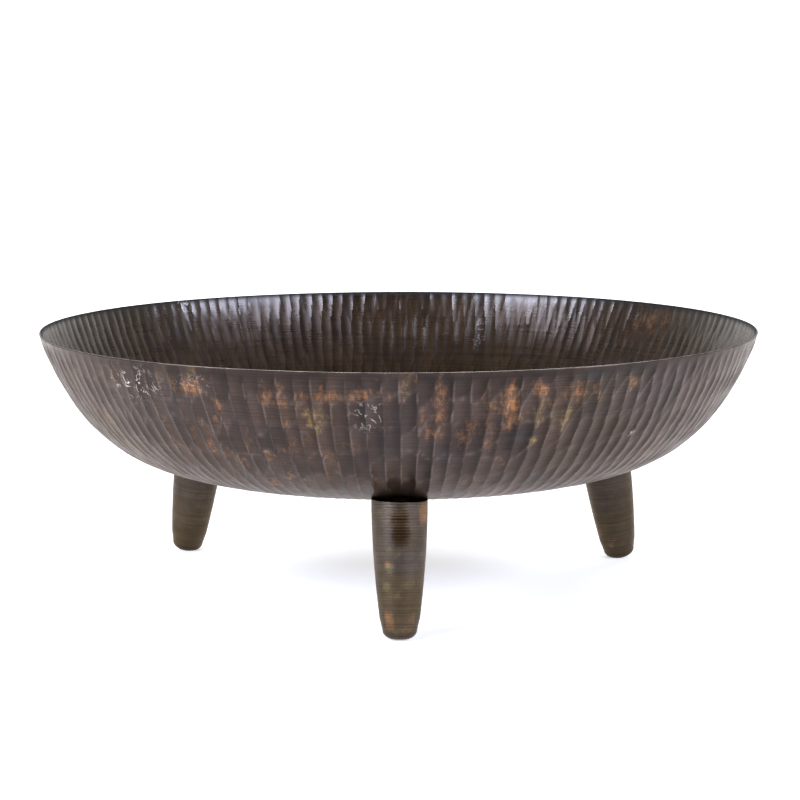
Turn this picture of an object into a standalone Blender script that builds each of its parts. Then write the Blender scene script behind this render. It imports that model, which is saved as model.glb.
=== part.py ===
"""A hammered steel fire bowl on three splayed turned legs, with a lift-out log grate.

Metres, +Z up. The origin is on the floor under the bowl's centre, and the front leg is at -Y.
"""

import math

import bmesh
import bpy
from mathutils import Matrix, Vector

# Driving dimensions
BOWL_RADIUS = 0.330
OVERALL_HEIGHT = 0.238
BOWL_DEPTH = 0.132
WALL = 0.002
# The bowl's side is a superellipse:
# (radius / BOWL_RADIUS) ** PLAN_POWER + (depth / BOWL_DEPTH) ** DEPTH_POWER = 1
PLAN_POWER = 6.0
DEPTH_POWER = 1.1

# Each leg's bearing round the bowl in degrees, and its foot's distance from the bowl's axis.
# The legs were set by hand, so they aren't evenly placed.
LEGS = {"front": (-90.0, 0.241), "right": (24.2, 0.238), "left": (146.8, 0.252)}
LEG_SPLAY = math.radians(10.0)
LEG_TOP_TILT = math.radians(3.5)
LEG_TOP_RADIUS = 0.024
LEG_TAPER = 0.0092
LEG_TAPER_POWER = 1.8
LEG_WALL = 0.005
LEG_FLOOR = 0.014
FOOT_ROUNDING = 0.0084
FOOT_FLAT_RADIUS = 0.004
FOOT_WEAR = 0.0007

CAP_THICKNESS = 0.008
CAP_RECESS = 0.006
SPACER_RADIUS = 0.009
WASHER_RADIUS = 0.011
WASHER_THICKNESS = 0.002
BOLT_RADIUS = 0.004
BOLT_HOLE_RADIUS = 0.0045
BOLT_HEAD_RADIUS = 0.0072
BOLT_HEAD_HEIGHT = 0.0053
BOLT_END_BELOW_CAP = 0.010

RING_RADIUS = 0.262
BAR_RADIUS = 0.004
ROD_PITCH = 0.040
RODS_EACH_SIDE = 6
CROSS_BAR_OFFSET = 0.100
HANDLE_WIRE_RADIUS = 0.003
HANDLE_HALF_WIDTH = 0.034
HANDLE_HEIGHT = 0.036
HANDLE_BEND = 0.012

GAP = 0.0003
RING_SEAT_GAP = 0.0009

BOWL_STEPS = 72
BOWL_RINGS = 20
LEG_STEPS = 32
ROUND_STEPS = 16

# The cutters reach this far past the metal they cut
CUT_MARGIN = 0.03
# Corners that the cuts leave closer than this are joined
WELD_DISTANCE = 0.00006

PATINA = ("hammered_bronze_patina", (0.060, 0.043, 0.034), 0.85, 0.38)
TURNED = ("turned_bronze_patina", (0.085, 0.064, 0.045), 0.85, 0.42)
ZINC = ("zinc_fastener", (0.32, 0.32, 0.31), 1.0, 0.40)
BLACK_IRON = ("black_grate_iron", (0.022, 0.021, 0.020), 0.60, 0.62)


def clear_scene():
    """Removes every object that the scene starts with."""
    for obj in list(bpy.data.objects):
        bpy.data.objects.remove(obj, do_unlink=True)


def collection(name):
    """A new collection in the scene."""
    made = bpy.data.collections.new(name)
    bpy.context.scene.collection.children.link(made)
    return made


def material(name, colour, metallic, roughness):
    """A Principled material with one colour, made once for each name."""
    made = bpy.data.materials.get(name)
    if made is None:
        made = bpy.data.materials.new(name)
        made.use_nodes = True
        shader = made.node_tree.nodes["Principled BSDF"]
        shader.inputs["Base Color"].default_value = (*colour, 1.0)
        shader.inputs["Metallic"].default_value = metallic
        shader.inputs["Roughness"].default_value = roughness
    return made


def add_object(name, mesh, group, finish=None):
    """Links a mesh as an object; without a finish it is a hidden cutter."""
    obj = bpy.data.objects.new(name, mesh)
    group.objects.link(obj)
    if finish:
        mesh.materials.append(material(*finish))
        mesh.shade_smooth()
        mesh.set_sharp_from_angle(angle=math.radians(35))
    else:
        obj.hide_render = True
        obj.display_type = "WIRE"
    return obj


def cylinder(name, radius, low, high, steps=ROUND_STEPS):
    """A closed cylinder mesh about the local Z axis, between two heights."""
    mesh = bpy.data.meshes.new(name)
    shape = bmesh.new()
    bmesh.ops.create_cone(
        shape, cap_ends=True, segments=steps, radius1=radius, radius2=radius, depth=high - low
    )
    bmesh.ops.translate(shape, verts=shape.verts, vec=(0, 0, (low + high) / 2))
    shape.to_mesh(mesh)
    shape.free()
    return mesh


def box(name, size, centre):
    """A closed box mesh."""
    mesh = bpy.data.meshes.new(name)
    shape = bmesh.new()
    bmesh.ops.create_cube(shape, size=1.0)
    bmesh.ops.scale(shape, verts=shape.verts, vec=size)
    bmesh.ops.translate(shape, verts=shape.verts, vec=centre)
    shape.to_mesh(mesh)
    shape.free()
    return mesh


def profile_mesh(name, points):
    """A chain of edges in the local XZ plane, given as (radius, height) pairs."""
    mesh = bpy.data.meshes.new(name)
    shape = bmesh.new()
    chain = [shape.verts.new((radius, 0, height)) for radius, height in points]
    for first, second in zip(chain, chain[1:]):
        shape.edges.new((first, second))
    shape.to_mesh(mesh)
    shape.free()
    return mesh


def turn(obj, steps, flip=False):
    """Turns a profile about the local Z axis; flip swaps its faces' sides."""
    screw = obj.modifiers.new("turn", "SCREW")
    screw.axis = "Z"
    screw.steps = steps
    screw.render_steps = steps
    screw.use_merge_vertices = True
    screw.merge_threshold = 0.00005
    screw.use_normal_calculate = True
    screw.use_normal_flip = flip


def cut(obj, *cutters):
    """Takes each cutter away from an object."""
    for cutter in cutters:
        boolean = obj.modifiers.new("cut_" + cutter.name, "BOOLEAN")
        boolean.operation = "DIFFERENCE"
        boolean.solver = "EXACT"
        boolean.object = cutter


def bowl_height(radius):
    """The height of the bowl's outer face at a radius."""
    fall = 1 - (radius / BOWL_RADIUS) ** PLAN_POWER
    return OVERALL_HEIGHT - BOWL_DEPTH * max(fall, 0.0) ** (1 / DEPTH_POWER)


def bowl_outline(outset=0.0, rings=BOWL_RINGS):
    """The bowl's outer outline from the rim down to the axis, moved outwards by outset."""
    points = []
    for step in range(rings, -1, -1):
        angle = math.pi / 2 * step / rings
        radius = BOWL_RADIUS * math.sin(angle) ** (2 / PLAN_POWER)
        depth = BOWL_DEPTH * math.cos(angle) ** (2 / DEPTH_POWER)
        points.append(Vector((radius, OVERALL_HEIGHT - depth)))
    moved = []
    for index, point in enumerate(points):
        before = points[max(index - 1, 0)]
        after = points[min(index + 1, len(points) - 1)]
        along = (after - before).normalized()
        outwards = Vector((-along.y, along.x))
        if index == len(points) - 1:
            outwards = Vector((0, -1))
        moved.append(point + outwards * outset)
    return moved


def make_bowl(group):
    """The bowl: its outer face turned about the axis, thickened inwards."""
    obj = add_object("bowl", profile_mesh("bowl", bowl_outline()), group, PATINA)
    turn(obj, BOWL_STEPS)
    solidify = obj.modifiers.new("wall", "SOLIDIFY")
    solidify.thickness = WALL
    solidify.offset = -1
    solidify.use_even_offset = False
    return obj


def block_above_bowl(group):
    """A turned cutter that fills the bowl and the air over it, a gap below the bowl's outer face."""
    top = OVERALL_HEIGHT + CUT_MARGIN
    outline = bowl_outline(GAP)
    points = [(0, top), (outline[0].x, top), *outline]
    obj = add_object("block_above_bowl", profile_mesh("block_above_bowl", points), group)
    turn(obj, BOWL_STEPS)
    return obj


def block_below_bowl(group):
    """A turned cutter that fills the space below the bowl's inner face, and a gap above that face."""
    outline = bowl_outline(-WALL - GAP)
    reach = BOWL_RADIUS + CUT_MARGIN
    points = [(0, 0), (reach, 0), (reach, outline[0].y), *outline]
    obj = add_object("block_below_bowl", profile_mesh("block_below_bowl", points), group)
    turn(obj, BOWL_STEPS, flip=True)
    return obj


def leg_frame(bearing, foot_radius):
    """The frame of one leg: its origin on the floor, local Z up the leg's axis, local X outwards."""
    turn_round = Matrix.Rotation(math.radians(bearing), 4, "Z")
    lean = Matrix.Rotation(-LEG_SPLAY, 4, "Y")
    return turn_round @ Matrix.Translation((foot_radius, 0, 0)) @ lean


def axis_length_to_bowl(foot_radius):
    """How far up a leg's axis it meets the bowl's outer face."""
    length = OVERALL_HEIGHT - BOWL_DEPTH
    for _ in range(40):
        length = bowl_height(foot_radius - length * math.sin(LEG_SPLAY)) / math.cos(LEG_SPLAY)
    return length


def leg_radius(share):
    """The leg's outer radius at a share of its length below the top."""
    return LEG_TOP_RADIUS - LEG_TAPER * share**LEG_TAPER_POWER


def leg_outline(length):
    """The outline of a hollow leg, from the axis inside, up over the top edge and down to the axis below."""
    ball = leg_radius(1) - FOOT_FLAT_RADIUS
    lean_up, lean_out = math.cos(LEG_SPLAY), math.sin(LEG_SPLAY)
    drop = math.hypot(ball * lean_out, FOOT_ROUNDING * lean_up) + FOOT_FLAT_RADIUS * lean_out
    bottom = (drop - FOOT_ROUNDING * lean_up - FOOT_WEAR) / lean_up
    side = [(leg_radius(0), length + CUT_MARGIN)]
    side += [(leg_radius(step / 8), length * (1 - step / 8)) for step in range(8)]
    inside = [(radius - LEG_WALL, height) for radius, height in side if height > bottom + LEG_FLOOR]
    corner = []
    for step in range(6):
        angle = math.pi / 2 * step / 5
        corner.append(
            (
                FOOT_FLAT_RADIUS + ball * math.cos(angle),
                bottom + FOOT_ROUNDING * (1 - math.sin(angle)),
            )
        )
    floor = [(0, bottom + LEG_FLOOR), (inside[-1][0] - 0.003, bottom + LEG_FLOOR)]
    return floor + inside[::-1] + side + corner + [(0, bottom)]


def make_leg(name, bearing, foot_radius, group, cutters, parts):
    """One leg with its cap, spacer, bolt and washer, each placed by the leg's frame."""
    frame = leg_frame(bearing, foot_radius)
    axis_length = axis_length_to_bowl(foot_radius)

    leg = add_object(f"leg_{name}", profile_mesh("leg", leg_outline(axis_length)), group, TURNED)
    turn(leg, LEG_STEPS)
    leg.matrix_world = frame
    size = 0.2
    saw = add_object(f"saw_{name}", box("saw", (size, size, size), (0, 0, size / 2)), cutters)
    saw.matrix_world = (
        frame @ Matrix.Translation((0, 0, axis_length)) @ Matrix.Rotation(LEG_SPLAY - LEG_TOP_TILT, 4, "Y")
    )
    cut(leg, saw, parts["above"], parts["ground"])
    weld = leg.modifiers.new("weld", "WELD")
    weld.merge_threshold = WELD_DISTANCE

    cap_top = axis_length - CAP_RECESS
    cap_low = cap_top - CAP_THICKNESS
    bore = leg_radius(1 - cap_low / axis_length) - LEG_WALL
    washer_top = axis_length + WALL + WASHER_THICKNESS + WASHER_RADIUS * math.tan(LEG_SPLAY)
    bolt_low = cap_low - BOLT_END_BELOW_CAP

    hole = cylinder("drill", BOLT_HOLE_RADIUS, bolt_low, axis_length + CUT_MARGIN)
    drill = add_object(f"drill_{name}", hole, cutters)
    pieces = {
        "cap": cylinder("cap", bore - 4 * GAP, cap_low, cap_top, LEG_STEPS),
        "spacer": cylinder("spacer", SPACER_RADIUS, cap_top + GAP, axis_length + WALL),
        "washer": cylinder("washer", WASHER_RADIUS, axis_length, washer_top),
        "bolt": bolt_mesh(bolt_low, washer_top + GAP),
    }
    drill.matrix_world = frame
    placed = {}
    for piece, mesh in pieces.items():
        placed[piece] = add_object(f"leg_{piece}_{name}", mesh, group, ZINC)
        placed[piece].matrix_world = frame
    cut(placed["cap"], drill)
    cut(placed["spacer"], parts["above"], drill)
    cut(placed["washer"], parts["below"], drill)
    cut(parts["bowl"], drill)


def bolt_mesh(low, seat):
    """A hexagon-head bolt: a head on a seat height and a shank down to a low height."""
    mesh = bpy.data.meshes.new("bolt")
    shape = bmesh.new()
    made = bmesh.ops.create_cone(
        shape,
        cap_ends=True,
        segments=6,
        radius1=BOLT_HEAD_RADIUS,
        radius2=BOLT_HEAD_RADIUS,
        depth=BOLT_HEAD_HEIGHT,
    )
    bmesh.ops.translate(shape, verts=made["verts"], vec=(0, 0, seat + BOLT_HEAD_HEIGHT / 2))
    under = min(shape.faces, key=lambda face: face.calc_center_median().z)
    inset = (BOLT_HEAD_RADIUS - BOLT_RADIUS) * math.cos(math.pi / 6)
    bmesh.ops.inset_region(shape, faces=[under], thickness=inset)
    shank = bmesh.ops.extrude_discrete_faces(shape, faces=[under])["faces"]
    bmesh.ops.translate(shape, verts=shank[0].verts, vec=(0, 0, low - seat))
    shape.to_mesh(mesh)
    shape.free()
    return mesh


def seat_height(radius, distance):
    """The height at which a point at this radius is this far inside the bowl's outer face."""
    outline = bowl_outline(rings=400)
    low, high = OVERALL_HEIGHT - BOWL_DEPTH + distance, OVERALL_HEIGHT
    for _ in range(40):
        middle = (low + high) / 2
        nearest = min((point - Vector((radius, middle))).length for point in outline)
        if nearest < distance:
            low = middle
        else:
            high = middle
    return high


def rod(name, group, start, end, radius=BAR_RADIUS, steps=12):
    """A straight round bar between two points."""
    start, end = Vector(start), Vector(end)
    obj = add_object(name, cylinder(name, radius, 0, (end - start).length, steps), group, BLACK_IRON)
    obj.matrix_world = Matrix.Translation(start) @ (end - start).to_track_quat("Z", "Y").to_matrix().to_4x4()
    return obj


def make_handle(name, group, side, base):
    """A bent wire loop that stands on the grate's ring, for lifting it out."""
    reach = math.sqrt(RING_RADIUS**2 - HANDLE_HALF_WIDTH**2) * side
    points = [(-HANDLE_HALF_WIDTH, 0.0)]
    for corner, first_angle in ((-1, math.pi), (1, math.pi / 2)):
        centre = Vector((corner * (HANDLE_HALF_WIDTH - HANDLE_BEND), HANDLE_HEIGHT - HANDLE_BEND))
        for step in range(5):
            angle = first_angle - math.pi / 2 * step / 4
            point = centre + HANDLE_BEND * Vector((math.cos(angle), math.sin(angle)))
            points.append((point.x, point.y))
    points.append((HANDLE_HALF_WIDTH, 0.0))
    curve = bpy.data.curves.new(name, "CURVE")
    curve.dimensions = "3D"
    curve.bevel_depth = HANDLE_WIRE_RADIUS
    curve.bevel_resolution = 2
    curve.use_fill_caps = True
    spline = curve.splines.new("POLY")
    spline.points.add(len(points) - 1)
    for place, (along, up) in zip(spline.points, points):
        place.co = (reach, along, base + up, 1.0)
    curve.materials.append(material(*BLACK_IRON))
    obj = bpy.data.objects.new(name, curve)
    group.objects.link(obj)
    return obj


def make_grate(group):
    """The log grate: a ring that rests on the bowl's side, cross bars in it, rods on top and two handles."""
    ring_z = seat_height(RING_RADIUS, WALL + BAR_RADIUS + RING_SEAT_GAP)
    bpy.ops.mesh.primitive_torus_add(
        major_segments=BOWL_STEPS,
        minor_segments=10,
        major_radius=RING_RADIUS,
        minor_radius=BAR_RADIUS,
        location=(0, 0, ring_z),
    )
    ring = bpy.context.object
    ring.name = "grate_ring"
    ring.data.materials.append(material(*BLACK_IRON))
    ring.data.shade_smooth()
    for owner in list(ring.users_collection):
        owner.objects.unlink(ring)
    group.objects.link(ring)

    for name, offset in (("front", -CROSS_BAR_OFFSET), ("back", CROSS_BAR_OFFSET)):
        inside = RING_RADIUS - BAR_RADIUS - 2 * GAP
        half = math.sqrt(inside**2 - (abs(offset) + BAR_RADIUS) ** 2)
        rod(f"grate_cross_bar_{name}", group, (-half, offset, ring_z), (half, offset, ring_z))

    rod_z = ring_z + 2 * BAR_RADIUS + GAP
    for index in range(-RODS_EACH_SIDE, RODS_EACH_SIDE + 1):
        offset = index * ROD_PITCH
        half = math.sqrt(RING_RADIUS**2 - offset**2)
        number = index + RODS_EACH_SIDE + 1
        rod(f"grate_rod_{number:02d}", group, (offset, -half, rod_z), (offset, half, rod_z))

    for name, side in (("left", -1), ("right", 1)):
        make_handle(f"grate_handle_{name}", group, side, ring_z + BAR_RADIUS + GAP)


def main():
    """Builds the fire bowl, its legs and its grate."""
    clear_scene()
    group = collection("fire_pit")
    cutters = collection("cutters")
    parts = {
        "bowl": make_bowl(group),
        "above": block_above_bowl(cutters),
        "below": block_below_bowl(cutters),
        "ground": add_object("ground", box("ground", (1, 1, 0.1), (0, 0, -0.05)), cutters),
    }
    for name, (bearing, foot_radius) in LEGS.items():
        make_leg(name, bearing, foot_radius, group, cutters, parts)
    make_grate(group)


main()
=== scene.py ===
"""Looks of a hand-hammered fire bowl on turned legs, with a loose log grate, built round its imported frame."""

from __future__ import annotations

import logging
import math
from dataclasses import dataclass
from enum import Enum

import bmesh
import bpy
import numpy as np
from mathutils import Matrix, Vector


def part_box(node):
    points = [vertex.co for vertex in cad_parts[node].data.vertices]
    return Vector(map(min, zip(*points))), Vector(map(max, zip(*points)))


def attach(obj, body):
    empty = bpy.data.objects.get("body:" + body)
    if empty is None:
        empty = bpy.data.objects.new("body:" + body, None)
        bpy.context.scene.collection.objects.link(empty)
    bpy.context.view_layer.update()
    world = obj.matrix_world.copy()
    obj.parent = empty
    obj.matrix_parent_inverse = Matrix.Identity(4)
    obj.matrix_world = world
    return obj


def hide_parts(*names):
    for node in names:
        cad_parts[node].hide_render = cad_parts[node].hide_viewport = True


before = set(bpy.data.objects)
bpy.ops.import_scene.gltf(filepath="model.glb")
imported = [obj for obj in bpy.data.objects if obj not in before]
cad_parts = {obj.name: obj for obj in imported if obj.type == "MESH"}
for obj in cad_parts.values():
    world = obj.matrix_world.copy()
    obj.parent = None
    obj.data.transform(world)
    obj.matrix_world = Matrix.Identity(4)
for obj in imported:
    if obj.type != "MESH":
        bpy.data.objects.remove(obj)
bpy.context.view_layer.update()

LOG = logging.getLogger("fire_pit")
FULL_TURN = 2 * math.pi
SAME_PLACE = 0.000004
SAME_LEVEL = 1e-7

Socket = bpy.types.NodeSocket
Colour = tuple[float, float, float]
Point = tuple[float, float, float]


# ---------------------------------------------------------------- names


class Body(Enum):
    """The moving bodies of the frame."""

    BOWL = "fire_bowl"
    GRATE = "grate"


class Slot(Enum):
    """The record's material slots."""

    BOWL = "hammered_bronze_patina"
    LEG = "turned_bronze_patina"
    FASTENER = "zinc_fastener"
    GRATE = "black_grate_iron"


class Rub(Enum):
    """What a rubbed or stained spot on the bowl shows; the value is the name of its mesh attribute."""

    COPPER = "rub_copper"
    BRASS = "rub_brass"
    STAIN = "rub_stain"
    SCRATCH = "rub_scratch"


class LegRub(Enum):
    """What a mark on a leg shows; the value is the name of its mesh attribute."""

    STREAK = "streak"
    ORANGE = "rub_orange"
    YELLOW = "rub_yellow"


# ---------------------------------------------------------------- shader graphs


class Wire:
    """A value on its way through a shader graph; sums and products of wires become Math nodes."""

    def __init__(self, graph: Graph, socket: Socket) -> None:
        """Wraps the socket that the value comes from.

        Args:
            graph: the graph that the socket is in.
            socket: the output socket.
        """
        self.graph = graph
        self.socket = socket

    def __add__(self, other: Value) -> Wire:
        """This value plus another."""
        return self.graph.math("ADD", self, other)

    def __sub__(self, other: Value) -> Wire:
        """This value less another."""
        return self.graph.math("SUBTRACT", self, other)

    def __rsub__(self, other: Value) -> Wire:
        """A number less this value."""
        return self.graph.math("SUBTRACT", other, self)

    def __mul__(self, other: Value) -> Wire:
        """This value times another."""
        return self.graph.math("MULTIPLY", self, other)

    def __truediv__(self, other: Value) -> Wire:
        """This value over another."""
        return self.graph.math("DIVIDE", self, other)


Value = Wire | Colour | float


class Graph:
    """A thin wrapper round a node tree, so that a finish reads as a short recipe."""

    def __init__(self, tree: bpy.types.NodeTree) -> None:
        """Wraps a tree.

        Args:
            tree: the tree of a material or of a node group.
        """
        self.tree = tree

    def node(self, kind: str, *values: Value, **settings: object) -> bpy.types.Node:
        """Adds a node.

        Args:
            kind: the node's type, without its ShaderNode.
            values: what its first inputs are fed, in order.
            settings: values for the node's own properties.

        Returns:
            The new node.
        """
        made = self.tree.nodes.new(f"ShaderNode{kind}")
        for name, setting in settings.items():
            setattr(made, name, setting)
        for socket, value in zip(made.inputs, values):
            self.feed(socket, value)
        return made

    def feed(self, socket: Socket, value: Value) -> None:
        """Links a wire into an input, or sets the input's own value.

        Args:
            socket: the input.
            value: a wire, a number, or a colour or vector as a tuple.
        """
        if isinstance(value, Wire):
            self.tree.links.new(value.socket, socket)
        elif isinstance(value, tuple) and socket.type == "RGBA":
            socket.default_value = (*value, 1.0)
        else:
            socket.default_value = value

    def wire(self, made: bpy.types.Node, output: int | str = 0) -> Wire:
        """The wire that comes from one of a node's outputs."""
        return Wire(self, made.outputs[output])

    def math(self, operation: str, *values: Value, clamp: bool = False) -> Wire:
        """Works out a number with a Math node."""
        return self.wire(self.node("Math", *values, operation=operation, use_clamp=clamp))

    def shift(self, place: Wire, by: Point) -> Wire:
        """Moves a place, so that one pattern doesn't follow another."""
        return self.wire(self.node("VectorMath", place, by, operation="ADD"))

    def span(self, value: Value, low: float, high: float, to_low: float = 0.0, to_high: float = 1.0) -> Wire:
        """Eases a value from one span to another, clamped at both ends.

        Args:
            value: the value to map.
            low: the start of the input's span.
            high: the end of the input's span.
            to_low: the result at the start.
            to_high: the result at the end.

        Returns:
            The mapped value.
        """
        numbers = (value, low, high, to_low, to_high)
        return self.wire(self.node("MapRange", *numbers, interpolation_type="SMOOTHSTEP"))

    def mix(self, share: Value, first: Value, second: Value, blend: str = "MIX") -> Wire:
        """Mixes two colours.

        Args:
            share: how much of the second there is.
            first: the colour at 0.
            second: the colour at 1.
            blend: the blend mode.

        Returns:
            The mixed colour.
        """
        made = self.node("Mix", data_type="RGBA", blend_type=blend)
        for index, value in ((0, share), (6, first), (7, second)):
            self.feed(made.inputs[index], value)
        return self.wire(made, 2)

    def dim(self, base: Wire, by: Wire) -> Wire:
        """Makes a colour darker or lighter by a factor."""
        return self.mix(1.0, base, self.combine(by, by, by), "MULTIPLY")

    def noise(self, place: Value, scale: Value, detail: float = 3.0, rough: float = 0.5) -> Wire:
        """Adds a noise texture.

        Args:
            place: where it is read.
            scale: how fine it is; its grain is about 1 over this.
            detail: how many finer layers it has.
            rough: how strong the finer layers are.

        Returns:
            The noise, from 0 to 1.
        """
        made = self.node("TexNoise")
        for name, value in (("Vector", place), ("Scale", scale), ("Detail", detail), ("Roughness", rough)):
            self.feed(made.inputs[name], value)
        return self.wire(made)

    def attribute(self, name: str) -> Wire:
        """Reads a number that the mesh carries on its vertices."""
        return self.wire(self.node("Attribute", attribute_name=name), "Fac")

    def place(self) -> Wire:
        """The point's own place in the object's frame."""
        return self.wire(self.node("TexCoord"), "Object")

    def combine(self, x: Value, y: Value, z: Value) -> Wire:
        """Joins three values as a vector."""
        return self.wire(self.node("CombineXYZ", x, y, z))

    def separate(self, value: Wire) -> tuple[Wire, Wire, Wire]:
        """Splits a vector into its three values."""
        made = self.node("SeparateXYZ", value)
        return self.wire(made, 0), self.wire(made, 1), self.wire(made, 2)

    def group(self, effect: Effect, **values: Value) -> Wire:
        """Places a shared effect.

        Args:
            effect: which effect.
            values: the effect's inputs by name.

        Returns:
            The effect's only output.
        """
        made = self.node("Group", node_tree=effect.tree())
        for name, value in values.items():
            self.feed(made.inputs[name], value)
        return self.wire(made)


class Effect(Enum):
    """The effects that more than one finish uses, each one a shader node group."""

    TURNED_LINES = "turned_lines"
    PATCHES = "broken_patches"
    SCRATCHES = "fine_scratches"
    WORN_EDGE = "worn_edge"
    ASH = "settled_ash"

    def tree(self) -> bpy.types.NodeTree:
        """Builds the effect's group the first time.

        Returns:
            The group.
        """
        made = bpy.data.node_groups.get(self.value)
        if made is None:
            made = bpy.data.node_groups.new(self.value, "ShaderNodeTree")
            getattr(EffectMaker(made), self.value)()
        return made


class EffectMaker:
    """Fills in the node group of each shared effect."""

    def __init__(self, tree: bpy.types.NodeTree) -> None:
        """Starts a group with its inner ends in place.

        Args:
            tree: the empty group.
        """
        self.tree = tree
        self.graph = Graph(tree)
        self.start = tree.nodes.new("NodeGroupInput")
        self.end = tree.nodes.new("NodeGroupOutput")

    def inlets(self, **values: float) -> list[Wire]:
        """Adds the group's inputs: Place, and a number for each name.

        Args:
            values: the numbers' usual values by name.

        Returns:
            The inputs' wires inside the group.
        """
        self.tree.interface.new_socket("Place", in_out="INPUT", socket_type="NodeSocketVector")
        for name, value in values.items():
            made = self.tree.interface.new_socket(name, in_out="INPUT", socket_type="NodeSocketFloat")
            made.default_value = value
        return [self.graph.wire(self.start, name) for name in ("Place", *values)]

    def outlet(self, name: str, value: Wire) -> None:
        """Adds the group's named output and feeds it."""
        self.tree.interface.new_socket(name, in_out="OUTPUT", socket_type="NodeSocketFloat")
        self.graph.feed(self.end.inputs[name], value)

    def turned_lines(self) -> None:
        """Fine lines round a turned or spun piece, broken up along their length."""
        graph = self.graph
        place, along, pitch = self.inlets(Along=0.0, Pitch=0.0015)
        x, y, _ = graph.separate(place)
        step = along / pitch
        fine = graph.noise(graph.combine(x * 9.0, y * 9.0, step), 1.0, 4.0, 0.65)
        self.outlet("Lines", graph.span(fine, 0.3, 0.7))

    def broken_patches(self) -> None:
        """A soft spot broken into ragged islands, as where a patina has rubbed away."""
        graph = self.graph
        place, spot, scale, ragged = self.inlets(Spot=0.0, Scale=60.0, Ragged=0.5)
        broken = (graph.noise(place, scale, 8.0, 0.72) - 0.5) * ragged
        total = spot + broken * 4.0
        shown = graph.span(total, 0.30, 1.15)
        self.outlet("Patches", shown * graph.span(spot, 0.02, 0.25))

    def fine_scratches(self) -> None:
        """Short curved hairlines, shown only where the zone is above nothing."""
        graph = self.graph
        place, zone, scale, width = self.inlets(Zone=0.0, Scale=90.0, Width=0.02)
        near = graph.math("ABSOLUTE", graph.noise(place, scale, 1.0) - 0.5)
        thin = graph.math("SUBTRACT", 1.0, near / width, clamp=True)
        broken = graph.noise(graph.shift(place, (3.1, 1.7, 0.4)), 150.0, 2.0)
        pieces = graph.span(broken, 0.46, 0.56)
        self.outlet("Scratches", thin * pieces * zone)

    def worn_edge(self) -> None:
        """Wear that shows along raised edges, patchy from place to place."""
        graph = self.graph
        place, edge, amount = self.inlets(Edge=0.0, Amount=0.5)
        patchy = graph.span(graph.noise(place, 34.0, 5.0, 0.6), 0.34, 0.62)
        grain = graph.span(graph.noise(place, 700.0, 2.0, 0.6), 0.2, 0.7, 0.55, 1.0)
        both = edge * patchy * grain
        self.outlet("Wear", graph.math("MULTIPLY", both, amount, clamp=True))

    def settled_ash(self) -> None:
        """Pale ash and sooty dust that lies on faces turned upwards."""
        graph = self.graph
        place, amount = self.inlets(Amount=0.5)
        _, _, up = graph.separate(graph.wire(graph.node("NewGeometry"), "Normal"))
        level = graph.span(up, 0.2, 0.95)
        cloud = graph.span(graph.noise(place, 55.0, 7.0, 0.7), 0.42, 0.72)
        self.outlet("Ash", level * cloud * amount)


def principled(name: str) -> tuple[bpy.types.Material, Graph, bpy.types.Node]:
    """Starts a material.

    Args:
        name: the material's name.

    Returns:
        The material, its graph, and its Principled shader.
    """
    made = bpy.data.materials.new(name)
    made.use_nodes = True
    return made, Graph(made.node_tree), made.node_tree.nodes["Principled BSDF"]


def bump(graph: Graph, height: Wire, depth: float, strength: float) -> Wire:
    """Turns a height into a normal.

    Args:
        graph: the material's graph.
        height: the height, from 0 to 1.
        depth: how many metres a height of 1 stands for.
        strength: how much of it shows.

    Returns:
        The normal.
    """
    made = graph.node("Bump")
    made.inputs["Strength"].default_value = strength
    made.inputs["Distance"].default_value = depth
    graph.feed(made.inputs["Height"], height)
    return graph.wire(made)


# ---------------------------------------------------------------- finishes


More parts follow.
